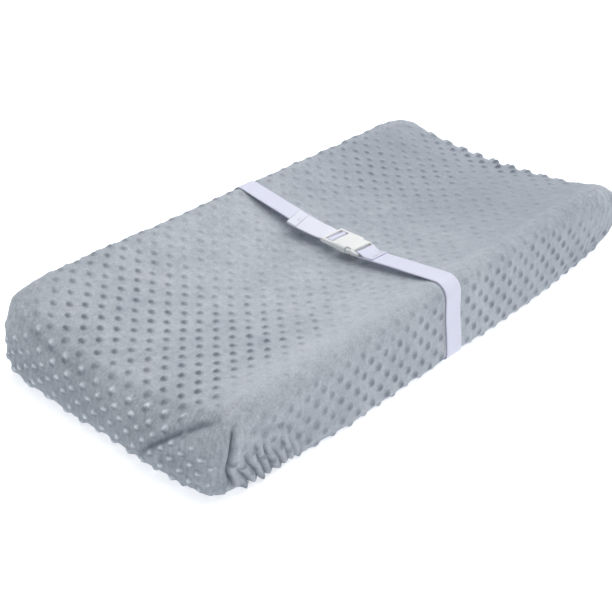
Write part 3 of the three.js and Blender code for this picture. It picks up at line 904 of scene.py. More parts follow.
@dataclass(frozen=True)
class Crease:
    """A groove in the cover with a soft fold beside it."""

    line: tuple[Point, ...]
    depth: float = 4 * MM
    width: float = 3.5 * MM
    weights: Point = (1.0, 1.0, 1.0)

    def relief(self, places: np.ndarray) -> tuple[np.ndarray, np.ndarray]:
        """How far the crease moves each place outwards, and how deep in its groove the place is."""
        away, share = distance_to_line(places * self.weights, np.array(self.line) * self.weights)
        fade = smooth_step(0, 0.15, share) * smooth_step(1, 0.85, share)
        groove = bell(away, self.width) * fade
        fold = bell(away - 2.4 * self.width, 1.6 * self.width) * fade
        return self.depth * (fold - groove), groove * min(1.0, self.depth / (3 * MM))


@dataclass(frozen=True)
class Zones:
    """How far each point of the cover is in each of its parts, mostly from 0 to 1."""

    on_long: np.ndarray
    on_top: np.ndarray
    on_end: np.ndarray
    left: np.ndarray
    right: np.ndarray
    far_right: np.ndarray
    brim: np.ndarray
    taut_corner: np.ndarray
    near_seam: np.ndarray
    stretched: np.ndarray
    under_strap: np.ndarray


@dataclass
class Cover:
    """The fitted plush cover, its gathered corners and its elastic hem."""

    form: PadForm
    finishes: Finishes
    step: float = 7.25 * MM
    dots: DotPattern = field(default_factory=DotPattern)
    strap_half: float = 16.5 * MM
    frames: int = 20
    most_settled: float = 6 * MM

    def build(self) -> None:
        grid = RingedGrid(self.form, self.step)
        piece = grid.piece("cover")
        cloth_u, cloth_v = grid.cloth.T
        carried = {"down": grid.down, "seam": grid.seam, "cloth_u": cloth_u, "cloth_v": cloth_v}
        for name, values in carried.items():
            point_values(piece, name, values)
        self._settle_cloth(piece, grid)
        smooth = piece.modifiers.new("smooth", "SUBSURF")
        smooth.levels = smooth.render_levels = 2
        apply_modifiers(piece)
        self._raise_relief(piece)
        settle(piece, "pad", self.finishes.plush, ["plush_cover"])

    def _settle_cloth(self, piece: Piece, grid: RingedGrid) -> None:
        """Lets the slack cloth of the sides buckle over the pad under it."""
        rest = points_of(piece)
        core = RingedGrid(self.form.sunk(1.2 * MM, 2.5 * MM, 50 * MM), 14 * MM).piece("core", closed=True)
        core.modifiers.new("body", "COLLISION")
        core.collision.thickness_outer = 0.5 * MM
        held = np.where(grid.down <= 0, 1.0, 0.0)
        edge = 1 - smooth_step(0, 30 * MM, grid.down)
        held = np.maximum(held, 0.35 * edge)
        held[grid.down > grid.down.max() - 12 * MM] = 1
        held = np.maximum(held, self._strap_lane(rest, 2 * MM, 14 * MM))
        pins = piece.vertex_groups.new(name="held")
        slack = piece.vertex_groups.new(name="slack")
        loose = (1 - held) * smooth_step(120 * MM, 20 * MM, grid.seam)
        for index, (pin, give) in enumerate(zip(held, loose, strict=True)):
            pins.add([index], float(pin), "REPLACE")
            slack.add([index], float(give), "REPLACE")
        cloth = piece.modifiers.new("cloth", "CLOTH")
        settings = cloth.settings
        settings.quality = 6
        settings.mass = 0.25
        settings.tension_stiffness = settings.compression_stiffness = 18
        settings.shear_stiffness = 6
        settings.bending_stiffness = 0.12
        settings.pin_stiffness = 1
        settings.vertex_group_mass = "held"
        settings.vertex_group_shrink = "slack"
        settings.shrink_min = 0.0
        settings.shrink_max = -0.09
        settings.use_pressure = True
        settings.uniform_pressure_force = 1.2
        settings.effector_weights.gravity = 0
        cloth.collision_settings.distance_min = 0.8 * MM
        cloth.collision_settings.collision_quality = 3
        cloth.point_cache.frame_start, cloth.point_cache.frame_end = 1, self.frames
        scene = bpy.context.scene
        for number in range(self.frames):
            scene.frame_set(number + 1)
        apply_modifiers(piece)
        scene.frame_set(1)
        moved = points_of(piece) - rest
        far = np.linalg.norm(moved, axis=1, keepdims=True)
        moved *= np.minimum(1, self.most_settled / np.maximum(far, 1e-9))
        LOG.info("the cover settled by up to %.1f mm", far.max() / MM)
        places = rest + moved
        places[:, 2] = np.maximum(places[:, 2], rest[:, 2].min())
        move_points(piece, places)
        bpy.data.objects.remove(core)

    def _strap_lane(self, places: np.ndarray, clear: float, fade: float) -> np.ndarray:
        """How far each place is inside the strap's lane, which goes from 1 to 0 past its edges."""
        beside = np.abs(places[:, 0] - strap_side_x(places[:, 1])) - self.strap_half
        return 1 - smooth_step(clear, clear + fade, beside)

    def _under_strap(self, places: np.ndarray, down: np.ndarray) -> np.ndarray:
        """How much of each place lies under the strap, where it is drawn tight over the cover."""
        touching = smooth_step(140 * MM, 160 * MM, np.abs(places[:, 1]))
        return self._strap_lane(places, 0, 5 * MM) * np.where(down > 0, 1.0, touching)

    def _zones(self, places: np.ndarray, down: np.ndarray, seam: np.ndarray) -> Zones:
        """Finds which parts of the cover each point is in.

        Args:
            places: Points of the cover.
            down: Distance of each from the top patch.
            seam: Distance of each from its nearest corner seam.

        Returns:
            The zones.
        """
        x, y, z = places.T
        ahead, aside = self.form.half_length - np.abs(x), self.form.half_width - np.abs(y)
        on_long = aside < ahead
        left = smooth_step(-120 * MM, -300 * MM, x)
        right = smooth_step(150 * MM, 380 * MM, x)
        from_corner = np.hypot(ahead, aside) / np.where(x < 0, 62 * MM, 84 * MM)
        taut_corner = np.minimum(1, 1.2 * bell(from_corner, 1.0))
        taut_corner *= smooth_step(0, 32 * MM, z - np.where(x < 0, 50 * MM, 30 * MM))
        crest_band = smooth_step(60 * MM, 38 * MM, down) * smooth_step(40 * MM, -240 * MM, x)
        crest_band = np.maximum(crest_band, smooth_step(46 * MM, 26 * MM, down - 30 * MM * right))
        shelf = np.maximum(aside - 24 * MM - 22 * MM * left, 0)
        stretched = bell(shelf, 24 * MM + 10 * MM * left) * crest_band * on_long * np.where(y < 0, 1.0, 0.3)
        brim = smooth_step(70 * MM, 25 * MM, ahead) * smooth_step(55 * MM, 25 * MM, down) * (x > 0)
        far_right = smooth_step(60 * MM, 200 * MM, x) * smooth_step(-40 * MM, 60 * MM, y)
        return Zones(
            on_long=on_long,
            on_top=smooth_step(14 * MM, 0, down),
            on_end=np.where(on_long, 0.0, smooth_step(6 * MM, 26 * MM, down)),
            left=left,
            right=right,
            far_right=np.maximum(far_right, 1.6 * smooth_step(320 * MM, 380 * MM, x)),
            brim=brim,
            taut_corner=taut_corner,
            near_seam=np.maximum(bell(seam, 9 * MM) * smooth_step(12 * MM, 30 * MM, down), taut_corner),
            stretched=stretched,
            under_strap=self._under_strap(places, down),
        )

    def _raise_dots(self, piece: Piece, places: np.ndarray, down: np.ndarray, zones: Zones) -> np.ndarray:
        """Raises the dots, and works out the painted shade and painted highlights on and round them.

        Args:
            piece: The cover, which is given the values for the painted highlights and painted shade of its
                dots.
            places: Its points.
            down: Distance of each from the top patch.
            zones: The parts of the cover that each is in.

        Returns:
            How far each point moves outwards.
        """
        x, on_top, on_end = places[:, 0], zones.on_top, zones.on_end
        cloth = np.stack([values_of(piece, "cloth_u"), values_of(piece, "cloth_v")], axis=1)
        patchy = 0.5 + 0.5 * rolling(places, 150 * MM, 5)
        fade = (1 - zones.under_strap) * (1 - zones.near_seam) * (1 - 0.85 * zones.stretched)
        fade *= 1 - 0.3 * patchy
        faint = smooth_step(-330 * MM, -60 * MM, x) * (1 - 0.45 * zones.far_right)
        fade *= 1 - 0.55 * faint * on_top
        dome, towards = self.dots.rise(cloth, faint * on_top)
        dot = dome * fade
        # Painted shade on the dots: on the top deepest on their -X side, away from the key lamp, on the long
        # sides over the whole dot, and on the ends on their lower side.
        painted_dot_shade_on_top = 0.25 + 0.35 * zones.left
        painted_dot_shade_on_top = painted_dot_shade_on_top + (1.6 + 0.5 * zones.left + zones.far_right) * np.clip(towards, -0.2, 0.8)
        nap = on_top * painted_dot_shade_on_top + (1 - on_top) * (0.8 + 0.4 * towards)
        lower = np.where(x < 0, towards, -towards)
        nap = nap + (1.9 * np.clip(lower + 0.1, 0, 1) - nap) * on_end
        # Painted highlight on the upper side of each dot on the ends, fainter on the +X end.
        tip = dome**2.4 * fade * np.clip(0.6 - 2.2 * lower, 0, 1) * on_end * np.where(x < 0, 1.0, 0.35)
        # Painted highlight along the stretched near crest; with a slight lightening of each dot's top it
        # makes the lighter wash.
        painted_crest_highlight = 0.9 * zones.stretched * smooth_step(120 * MM, -200 * MM, x)
        painted_crest_highlight *= smooth_step(44 * MM, 10 * MM, down)
        point_values(piece, "dot", np.maximum(0.2 * dot, painted_crest_highlight))
        point_values(piece, "gleam", np.clip(2 * tip, 0, 1))
        point_values(piece, "nap", np.clip(dome**0.6 * fade * nap, 0, 1))
        return self.dots.height * dot * (1 + 0.3 * on_end * (1 - zones.brim) + 1.1 * zones.brim)

    def _raise_relief(self, piece: Piece) -> None:
        """Raises the dots, folds, pleats and seams out of the smooth cover, and stores the painted shade of
        its creases, sides and ends.
        """
        places, normals = points_of(piece), normals_of(piece)
        down, seam = values_of(piece, "down"), values_of(piece, "seam")
        x, _, z = places.T
        zones = self._zones(places, down, seam)
        on_top, on_end, under_strap = zones.on_top, zones.on_end, zones.under_strap
        out = self._raise_dots(piece, places, down, zones)
        out += 0.9 * MM * rolling(places, 75 * MM, 1) * (1 - under_strap)
        out += 0.35 * MM * rolling(places, 24 * MM, 2) * (1 - under_strap)
        drawn = np.maximum(zones.taut_corner, zones.stretched * zones.right) * (1 - on_top)
        drawn = np.maximum(on_end, drawn) * (1 - under_strap)
        out += 0.4 * MM * drawn * rolling(places * np.array([1, 1, 0.12]), 10 * MM, 3)
        gathers, hollow = self._corner_gathers(places, down, seam, zones.on_long)
        gathers += self._hem_gathers(places, down, under_strap)
        for crease in self._creases():
            relief, groove = crease.relief(places)
            gathers += relief
            hollow = np.maximum(hollow, groove)
        moved = places + normals * (out + gathers)[:, None]
        turned_under = np.maximum(moved[:, 2], 0.25 * MM + 1.45 * MM * under_strap)
        moved[:, 2] = np.where(down > self.form.top_inset, turned_under, moved[:, 2])
        move_points(piece, moved)
        # Painted shade: darker towards +X, on the sides than on the top, and towards the bottom of the ends.
        lay = 0.6 * smooth_step(-40 * MM, 280 * MM, x) * (0.7 + 0.3 * on_top)
        shaded = 0.5 * on_end * smooth_step(80 * MM, 15 * MM, z)
        # The depth in grooves and pleat troughs is stored as painted shade for the creases.
        point_values(piece, "valley", hollow)
        point_values(piece, "drawn", drawn)
        point_values(piece, "lay", np.maximum(lay, 0.14 * (1 - on_top) + shaded))

    def _corner_gathers(
        self, places: np.ndarray, down: np.ndarray, seam: np.ndarray, on_long: np.ndarray
    ) -> tuple[np.ndarray, np.ndarray]:
        """The groove of each corner seam, and the pleats drawn up beside it on the long sides.

        Args:
            places: Points of the cover.
            down: Distance of each from the top patch.
            seam: Distance of each from its nearest corner seam.
            on_long: Which of them are on a long side.

        Returns:
            How far each point moves outwards, and how deep in a groove it is, from 0 to 1.
        """
        z = places[:, 2]
        side = smooth_step(20 * MM, 34 * MM, down)
        past = np.where(on_long, seam, -seam) - 9.5 * MM - 7.5 * MM * smooth_step(46 * MM, 12 * MM, z)
        sewn = smooth_step(96 * MM, 84 * MM, z) * smooth_step(3 * MM, 16 * MM, z) * side
        groove = bell(past, 2.0 * MM) * sewn
        ridge = bell(past - 6.5 * MM, 3.8 * MM) * sewn
        bulge = bell(past + 26 * MM, 20 * MM) * side
        cap = bell(np.hypot(past + 2 * MM, z - 90 * MM), 9 * MM) * side
        begins = 72 * MM - 0.25 * past + 8 * MM * rolling(places * np.array([1, 1, 0]), 22 * MM, 12)
        beyond = np.maximum(past, 0)
        gathered = smooth_step(7 * MM, 13 * MM, past) * np.exp(-((beyond / (92 * MM)) ** 4)) * side
        gathered *= smooth_step(begins, begins - 22 * MM, z) * np.where(places[:, 0] < 0, 1.0, 0.3)
        slope = 0.34 * np.exp(-beyond / (90 * MM))
        uneven = 3.6 * MM * rolling(places * np.array([1, 1, 0.2]), 46 * MM, 11)
        fold = np.abs(np.sin(math.pi * (past + slope * (z - 35 * MM) + uneven) / (11.8 * MM)))
        pleats = (5.6 * fold**0.65 - 2.3) * MM * gathered * (1 + 0.35 * smooth_step(30 * MM, 8 * MM, z))
        relief = -6.3 * MM * groove + 2.6 * MM * ridge + 3.2 * MM * bulge + 1.8 * MM * cap + pleats
        return relief, np.maximum(groove * sewn, (1 - fold) ** 1.1 * gathered)

    def _hem_gathers(self, places: np.ndarray, down: np.ndarray, under_strap: np.ndarray) -> np.ndarray:
        """Ripples that the hem's elastic draws up, deepest beside it."""
        x, y, _ = places.T
        angle = np.arctan2(y / self.form.half_width, x / self.form.half_length)
        around = np.where(np.abs(y) / self.form.half_width > np.abs(x) / self.form.half_length, x, y)
        deep = down.max()
        share = smooth_step(deep - 62 * MM, deep - 8 * MM, down)
        wave = np.sin(2 * math.pi * around / (17 * MM) + 2.2 * rolling(places, 60 * MM, 21) + angle)
        scallop = 1.1 * MM * np.sin(2 * math.pi * around / (31 * MM) + 2 * rolling(places, 90 * MM, 22))
        foot = bell(down - (deep - 58 * MM), 14 * MM)
        return (-1.2 * MM * (1 + wave) * share + scallop * foot) * (1 - under_strap)

    def _creases(self) -> list[Crease]:
        """The folds that lie across the cover's left end and its corners."""
        end = -self.form.half_length / MM
        side = -self.form.half_width / MM
        sweep = (
            (end, -72, 10),
            (end, -100, 38),
            (end, -129, 62),
            (end + 4, -158, 82),
            (end + 14, -186, 97),
        )
        sag = ((end + 8, 150, 74), (end + 4, 90, 66), (end + 3, 10, 62))
        shoulder = ((end + 40, side + 5, 84), (end + 75, side + 2, 70), (end + 110, side, 52))

        lines = [tuple((x * MM, y * MM, z * MM) for x, y, z in line) for line in (sweep, sag, shoulder)]
        return [
            Crease(lines[0], 3.0 * MM, 3.6 * MM, (0.15, 1.0, 1.0)),
            Crease(lines[1], 1.2 * MM, 6 * MM),
            Crease(lines[2], 1.1 * MM, 5 * MM),
        ]


@dataclass
class Hem:
    """The casing round the cover's opening, drawn up in ruffles by the elastic inside it."""

    form: PadForm
    finishes: Finishes
    inner: float = 68.9 * MM
    outer: float = 56.9 * MM
    height: float = 3.6 * MM
    lane_half: float = 18 * MM
    lane_ramp: float = 10 * MM
    lane_rise: float = 1.9 * MM
    cells: tuple[int, int] = (320, 140)
    sides: int = 14

    def build(self) -> None:
        """Builds the casing and the elastic in it."""
        middle, half_width = 0.5 * (self.outer + self.inner), 0.5 * (self.inner - self.outer)
        casing = self._loop("hem", middle, half_width, 0.5 * self.height, 0.75)
        settle(casing, "pad", self.finishes.plush, ["hem_casing"])
        elastic = self._loop("elastic", middle + 0.4 * MM, 4 * MM, 0.45 * MM, 0.2)
        settle(elastic, "pad", self.finishes.elastic, ["hem_elastic"])

    def _loop(
        self, name: str, inset: float, half_width: float, half_height: float, ruffle: float
    ) -> Piece:
        """Sweeps a flattened tube round the cover's opening.

        Args:
            name: The piece's name.
            inset: Distance of the tube's middle from the pad's outline.
            half_width: Half of its width.
            half_height: Half of its height.
            ruffle: How much its edges wander, as a share of its height.

        Returns:
            The tube.
        """
        middle = self.form.outline(inset, *self.cells)
        inwards = inwards_from(middle)
        wander = rolling(np.column_stack([middle, np.zeros(len(middle))]), 40 * MM, 31)
        wave = np.sin(2 * math.pi * lengths_along(middle) / (9.5 * MM) + 2.5 * wander)
        on_long = np.abs(middle[:, 1]) > self.form.half_width - inset - 2 * MM
        beside = np.abs(middle[:, 0] - strap_side_x(middle[:, 1]))
        lane = smooth_step(self.lane_half + self.lane_ramp, self.lane_half, beside) * on_long
        calm = 1 - lane
        lines = []
        for k in range(self.sides):
            angle = 2 * math.pi * k / self.sides
            across, up = math.cos(angle), math.sin(angle)
            across = math.copysign(abs(across) ** 0.7, across)
            swing = half_width * across * (1 + 0.10 * wave * calm)
            rise = half_height * up * (1 + ruffle * 0.45 * wave * calm)
            ripple = ruffle * 0.28 * half_height * wave * calm
            height = 0.5 * self.height + rise + ripple + self.lane_rise * lane
            lines.append(np.column_stack([middle + inwards * swing[:, None], np.maximum(height, 0.1 * MM)]))
        return closed_tube(name, lines)


# ------------------------------------------------------------------ the pad inside


@dataclass
class Inner:
    """The foam, its vinyl skin and the base sheet with its binding."""

    form: PadForm
    finishes: Finishes

    def build(self) -> None:
        """Builds everything that the cover fits over."""
        skin = RingedGrid(self.form.sunk(3.4 * MM, 6.6 * MM, 13 * MM), 12 * MM).piece("vinyl_skin")
        settle(skin, "pad", self.finishes.vinyl, ["vinyl_shell"])
        foam = RingedGrid(self.form.sunk(4.8 * MM, 7.2 * MM, 18 * MM), 16 * MM).piece("foam", closed=True)
        settle(foam, "pad", self.finishes.foam, ["foam_core"])
        self._base()
        self._binding()

    def _base(self) -> None:
        """The base sheet, moulded with rows of grip points on its underside."""
        low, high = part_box("base_panel")
        step = 3.6 * MM
        nx, ny = round((high.x - low.x) / step), round((high.y - low.y) / step)
        x, y = np.meshgrid(np.linspace(low.x, high.x, nx), np.linspace(low.y, high.y, ny), indexing="ij")
        corner, point = 26 * MM, 0.7 * MM
        over = np.clip(np.stack([np.abs(x) - (high.x - corner), np.abs(y) - (high.y - corner)]), 0, None)
        pull = np.where(np.hypot(*over) > corner, corner / np.maximum(np.hypot(*over), 1e-9), 1)
        x = np.where(over[0] > 0, np.sign(x) * (high.x - corner + over[0] * pull), x)
        y = np.where(over[1] > 0, np.sign(y) * (high.y - corner + over[1] * pull), y)
        pitch = 4 * step
        grip = np.maximum(np.cos(math.pi * x / pitch) * np.cos(math.pi * y / pitch), 0) ** 6
        under = np.stack([x, y, low.z + point - point * grip], axis=-1)
        over_side = np.stack([x, y, np.full_like(x, high.z)], axis=-1)
        count = nx * ny
        index = np.arange(count).reshape(nx, ny)
        quads = np.stack([index[:-1, :-1], index[:-1, 1:], index[1:, 1:], index[1:, :-1]], axis=-1)
        quads = quads.reshape(-1, 4)
        rim = np.concatenate([index[:-1, 0], index[-1, :-1], index[1:, -1][::-1], index[0, 1:][::-1]])
        wall = np.stack([rim, np.roll(rim, -1), np.roll(rim, -1) + count, rim + count], axis=-1)
        points = np.concatenate([under.reshape(-1, 3), over_side.reshape(-1, 3)])
        base = mesh_object("base_sheet", points, np.concatenate([quads, quads[:, ::-1] + count, wall]))
        settle(base, "pad", self.finishes.base, ["base_panel"])

    def _binding(self) -> None:
        """The bound edge where the base sheet is sewn to the skin."""
        low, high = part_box("base_binding")
        inset = self.form.half_width - high.y
        half = 2.6 * MM
        middle = self.form.outline(inset + half, 160, 80)
        inwards, sides = inwards_from(middle), 10
        lines = []
        for k in range(sides):
            angle = 2 * math.pi * k / sides
            height = 0.5 * (low.z + high.z) + 0.5 * (high.z - low.z) * math.sin(angle)
            flat = middle + inwards * half * math.cos(angle)
            lines.append(np.column_stack([flat, np.full(len(middle), height)]))
        binding = closed_tube("binding", lines)
        settle(binding, "pad", self.finishes.vinyl, ["base_binding"])


# ------------------------------------------------------------------ the strap


@dataclass(frozen=True)
class StrapLine:
    """Where the strap runs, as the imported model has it."""

    near_x: float = NEAR_STRAP_X
    far_x: float = FAR_STRAP_X
    straight: float = 190 * MM
    width: float = 30 * MM
    thickness: float = 1.4 * MM
    buckle_y: float = -19.5 * MM
    buckle_z: float = 95.5 * MM

    @property
    def turn(self) -> float:
        """How far the strap is turned out of square to the pad."""
        return math.atan((self.far_x - self.near_x) / (2 * self.straight))

    def centre(self, y: float) -> float:
        """X of the strap's middle over the top of the pad."""
        share = min(max((y + self.straight) / (2 * self.straight), 0), 1)
        return self.near_x + (self.far_x - self.near_x) * share

    def place(self, y: float, z: float) -> Flat:
        """X of the strap's middle and its turn, at a point of its path."""
        on_top = float(smooth_step(70 * MM, 100 * MM, z))
        side_x = self.near_x if y < 0 else self.far_x
        fade = min(max((self.straight - abs(y)) / (30 * MM), 0), 1)
        return side_x + (self.centre(y) - side_x) * on_top, self.turn * fade * on_top

    def buckle_matrix(self) -> Matrix:
        """Takes the buckle's own frame, Y along the strap and Z up, to the model's."""
        middle = (self.centre(self.buckle_y), self.buckle_y, self.buckle_z)
        return Matrix.Translation(middle) @ Matrix.Rotation(-self.turn, 4, "Z")

    def world_y(self, along: float) -> float:
        """Y of a place along the buckle's own frame."""
        return self.buckle_y + along * math.cos(self.turn)


def smoothed(path: Sequence[Sequence[float]], step: float, rounds: int = 3) -> np.ndarray:
    """Cuts a path's corners and spaces its points evenly.

    Args:
        path: The path's points.
        step: Distance between the new points.
        rounds: How many times each corner is cut.

    Returns:
        The new points.
    """
    points = np.array(path, float)
    for _ in range(rounds):
        first = 0.78 * points[:-1] + 0.22 * points[1:]
        second = 0.22 * points[:-1] + 0.78 * points[1:]
        inner = np.stack([first, second], axis=1).reshape(-1, points.shape[1])
        points = np.concatenate([points[:1], inner[1:-1], points[-1:]])
    run = lengths_along(points)
    at = np.linspace(0, run[-1], max(2, round(run[-1] / step) + 1))
    return np.stack([np.interp(at, run, points[:, k]) for k in range(points.shape[1])], axis=1)


@dataclass
class Tape:
    """A flat woven tape with thick, rounded selvedges, swept along a path."""

    name: str
    centre: np.ndarray
    across: np.ndarray
    width: float
    thickness: float

    def build(self) -> Piece:
        """Sweeps the tape, with its own lengths as the coordinates of its weave."""
        count = len(self.centre)
        along = np.gradient(self.centre, axis=0)
        along /= np.linalg.norm(along, axis=1, keepdims=True)
        across = self.across - along * np.sum(self.across * along, axis=1, keepdims=True)
        across /= np.linalg.norm(across, axis=1, keepdims=True)
        face = np.cross(across, along)
        run = lengths_along(self.centre)
        half, thin = self.width / 2, self.thickness / 2
        cells = 12
        spread = np.linspace(-1, 1, cells + 1)
        flat = np.sign(spread) * np.abs(spread) ** 0.9 * (half - 0.5 * thin)
        top = [(s, thin * (1.0 + 0.12 * (abs(s) > half - 2.6 * MM))) for s in flat]
        low = [(s, -t) for s, t in reversed(top)]
        section = np.array([*top, (half, 0.0), *low, (-half, 0.0)])
        size = len(section)
        wobble = 0.10 * MM * np.sin(run / (23 * MM)) + 0.07 * MM * np.sin(run / (7.3 * MM) + 2)
        edge = 1 + 0.006 * np.sin(run / (11 * MM))
        points = (
            self.centre[:, None]
            + across[:, None] * (section[None, :, :1] * edge[:, None, None])
            + face[:, None] * (section[None, :, 1:] + wobble[:, None, None])
        )
        index = np.arange(count * size).reshape(count, size)
        here, beside = index[:-1], np.roll(index, -1, axis=1)[:-1]
        after, after_beside = index[1:], np.roll(index, -1, axis=1)[1:]
        faces = np.stack([here, beside, after_beside, after], axis=-1).reshape(-1, 4).tolist()
        faces += [index[0][::-1].tolist(), index[-1].tolist()]
        piece = mesh_object(self.name, points.reshape(-1, 3), faces)
        layer = piece.data.uv_layers.new(name="tape")
        where = np.empty(len(piece.data.loops), np.int32)
        piece.data.loops.foreach_get("vertex_index", where)
        flat_place = np.stack([run[where // size], section[where % size, 0]], axis=1)
        layer.data.foreach_set("uv", flat_place.astype(np.float32).ravel())
        return piece


@dataclass(frozen=True)
class Stitches:
    """Rows of thread stitches lying on a surface."""

    radius: float = 0.32 * MM
    length: float = 2.6 * MM
    gap: float = 0.5 * MM

    def build(self, name: str, rows: Sequence[tuple[Point, Point]], out: Vector) -> Piece:
        """Makes one piece of all the rows.

        Args:
            name: The piece's name.
            rows: Start and end of each row.
            out: Direction out of the surface.

        Returns:
            The stitches.
        """
        points, faces = [], []
        sides, stations = 6, 5
        for start, end in rows:
            first, last = Vector(start), Vector(end)
            way = last - first
            count = max(1, round(way.length / (self.length + self.gap)))
            way.normalize()
            pitch = (last - first).length / count
            for i in range(count):
                middle = first + way * pitch * (i + 0.5)
                beside = way.cross(out)
                base = len(points)
                for k in range(stations + 1):
                    t = k / stations
                    thick = self.radius * (0.25 + 0.75 * math.sin(math.pi * t) ** 0.5)
                    arch = out * self.radius * 1.1 * math.sin(math.pi * t)
                    centre = middle + way * (t - 0.5) * self.length + arch
                    for s in range(sides):
                        angle = 2 * math.pi * s / sides
                        points.append(centre + (beside * math.cos(angle) + out * math.sin(angle)) * thick)
                for k in range(stations):
                    for s in range(sides):
                        a, b = base + k * sides + s, base + k * sides + (s + 1) % sides
                        faces.append((a, b, b + sides, a + sides))
                faces.append(tuple(range(base, base + sides))[::-1])
                faces.append(tuple(range(base + stations * sides, base + (stations + 1) * sides)))
        return mesh_object(name, np.array(points), faces)


@dataclass
class Strap:
    """The two halves of the strap, from their anchors under the base to the buckle."""

    form: PadForm
    finishes: Finishes
    line: StrapLine = field(default_factory=StrapLine)
    anchor_z: float = 3.3 * MM
    load: float = -3.15 * MM
    tail_level: float = -1.4 * MM
    adjuster_end: float = 34.3 * MM
    bar_level: float = 2.75 * MM
    fold_y: float = -76 * MM
    tail_y: float = 76 * MM
    tail_askew: float = math.radians(15)

    def _side_path(self, side: Side, to: Flat) -> list[Flat]:
        """Y and Z of the strap where it is drawn tight round the pad.

        Args:
            side: Which half of the strap.
            to: Y and Z of the place on the buckle that it runs straight to.

        Returns:
            Its points from the anchor, under the hem and round the pad, to where it leaves the crest.
        """
        line = self.line
        stand_off = 1.35 * MM
        wall = self.form.section(4 * MM, line.near_x if side is Side.NEAR else line.far_x)
        along = np.gradient(wall, axis=0)
        along /= np.linalg.norm(along, axis=1, keepdims=True)
        held = wall + np.stack([-along[:, 1], along[:, 0]], axis=1) * stand_off
        half = line.thickness / 2
        held = held[held[:, 1] > half + 0.85 * MM][::-1].tolist()
        goal = (abs(to[0]), to[1])

        def hangs_in() -> bool:
            """Whether the last point would lie in the hollow of the straight run to the buckle."""
            (ay, az), (by, bz) = held[-2:]
            return (by - ay) * (goal[1] - bz) - (bz - az) * (goal[0] - by) < 0

        while hangs_in():
            held.pop()
        lying = half + 0.35 * MM
        under = [(72 * MM, self.anchor_z), (104 * MM, self.anchor_z), (120 * MM, lying), (186 * MM, lying)]
        return [(side.value * y, z) for y, z in [*under, *held]]

    def _tape(self, name: str, path: Sequence[Sequence[float]], askew: float = 0.0) -> Piece:
        """Sweeps a tape along a path.

        Args:
            name: The piece's name.
            path: Y and Z of its points.
            askew: Angle by which the tape swings towards -X and rolls, past the path's start.

        Returns:
            The tape.
        """
        flat = smoothed(path, 1.6 * MM)
        placed = [self.line.place(y, z) for y, z in flat]
        past = flat[:, 0] - flat[0, 0]
        swing = askew * smooth_step(0, 14 * MM, past)
        centre = np.array([(x, y, z) for (x, _), (y, z) in zip(placed, flat, strict=True)])
        centre[:, 0] -= np.tan(0.8 * swing) * past
        turns = np.array([turn for _, turn in placed]) - swing
        across = np.stack([np.cos(turns), -np.sin(turns), np.sin(0.7 * swing)], axis=1)
        return Tape(name, centre, across, self.line.width, self.line.thickness).build()

    def _row_across(self, y: float, z: float, reach: float) -> tuple[Point, Point]:
        """Ends of a row of stitches across the strap, over the top of the pad."""
        x, turn = self.line.place(y, z)
        return (x - reach, y + reach * math.sin(turn), z), (x + reach, y - reach * math.sin(turn), z)

    def build(self) -> None:
        """Builds the webbing, its stitches and its anchors."""
        self._far_half()
        self._near_half()
        for side in Side:
            self._anchor(side)

    def _far_half(self) -> None:
        """The half that runs to the buckle's adjuster, and its free tail."""
        line = self.line
        start = line.world_y(self.adjuster_end)
        load_z = line.buckle_z + self.load
        path = self._side_path(Side.FAR, (start, load_z))
        crest = path[-1]
        path.append((start, load_z))
        far = self._tape("far_strap", path)
        settle_between(far, ("pad", "plug"), self.finishes.webbing, ["far_webbing"])
        slope = (crest[1] - load_z) / (crest[0] - start)
        tail_z = line.buckle_z + self.tail_level

        def rise(y: float, lift: float = 0.0) -> Flat:
            """Y and Z of a place on the tail, with its lift off the strap."""
            return y, tail_z + slope * (y - start) + lift

        curl = 2.2 * MM
        thick = line.thickness
        tip = self.tail_y
        tail_path = [
            rise(start),
            rise(start + 14 * MM),
            rise(start + 30 * MM, 0.2 * curl),
            rise(tip - 10 * MM, 0.6 * curl),
            rise(tip, curl),
            rise(tip + 0.9 * thick, curl + 0.6 * thick),
            rise(tip, curl + 1.25 * thick),
            rise(tip - 7 * MM, 0.75 * curl + 1.15 * thick),
            rise(tip - 14.5 * MM, 0.45 * curl + 1.05 * thick),
        ]
        tail = self._tape("tail", tail_path, self.tail_askew)
        # The tail wears the lighter copy of the webbing, painted light.
        settle_between(tail, ("plug", "tail"), self.finishes.webbing_back, ["strap_tail"])
        lift = 0.6 * curl + 1.85 * thick
        rows = [self._row_across(*rise(tip - back, lift), 12.8 * MM) for back in (11.5 * MM, 10.2 * MM)]
        stitches = Stitches().build("tail_stitches", rows, Vector((0, -slope, 1)).normalized())
        settle(stitches, "tail", self.finishes.thread, ["tail_hem_stitching"])

    def _near_half(self) -> None:
        """The half that is sewn round the receiver's bar."""
        line = self.line
        bar_y, bar_z = line.world_y(-34 * MM), line.buckle_z - self.bar_level
        path = self._side_path(Side.NEAR, (bar_y, bar_z))
        crest = path[-1]
        slope = (crest[1] - bar_z) / (crest[0] - bar_y)
        layer = line.thickness * 1.12

        def back(y: float, lift: float = 0.0) -> Flat:
            """Y and Z of a place on the sewn fold, which lies on the strap."""
            return y, bar_z + slope * (y - bar_y) + layer + lift

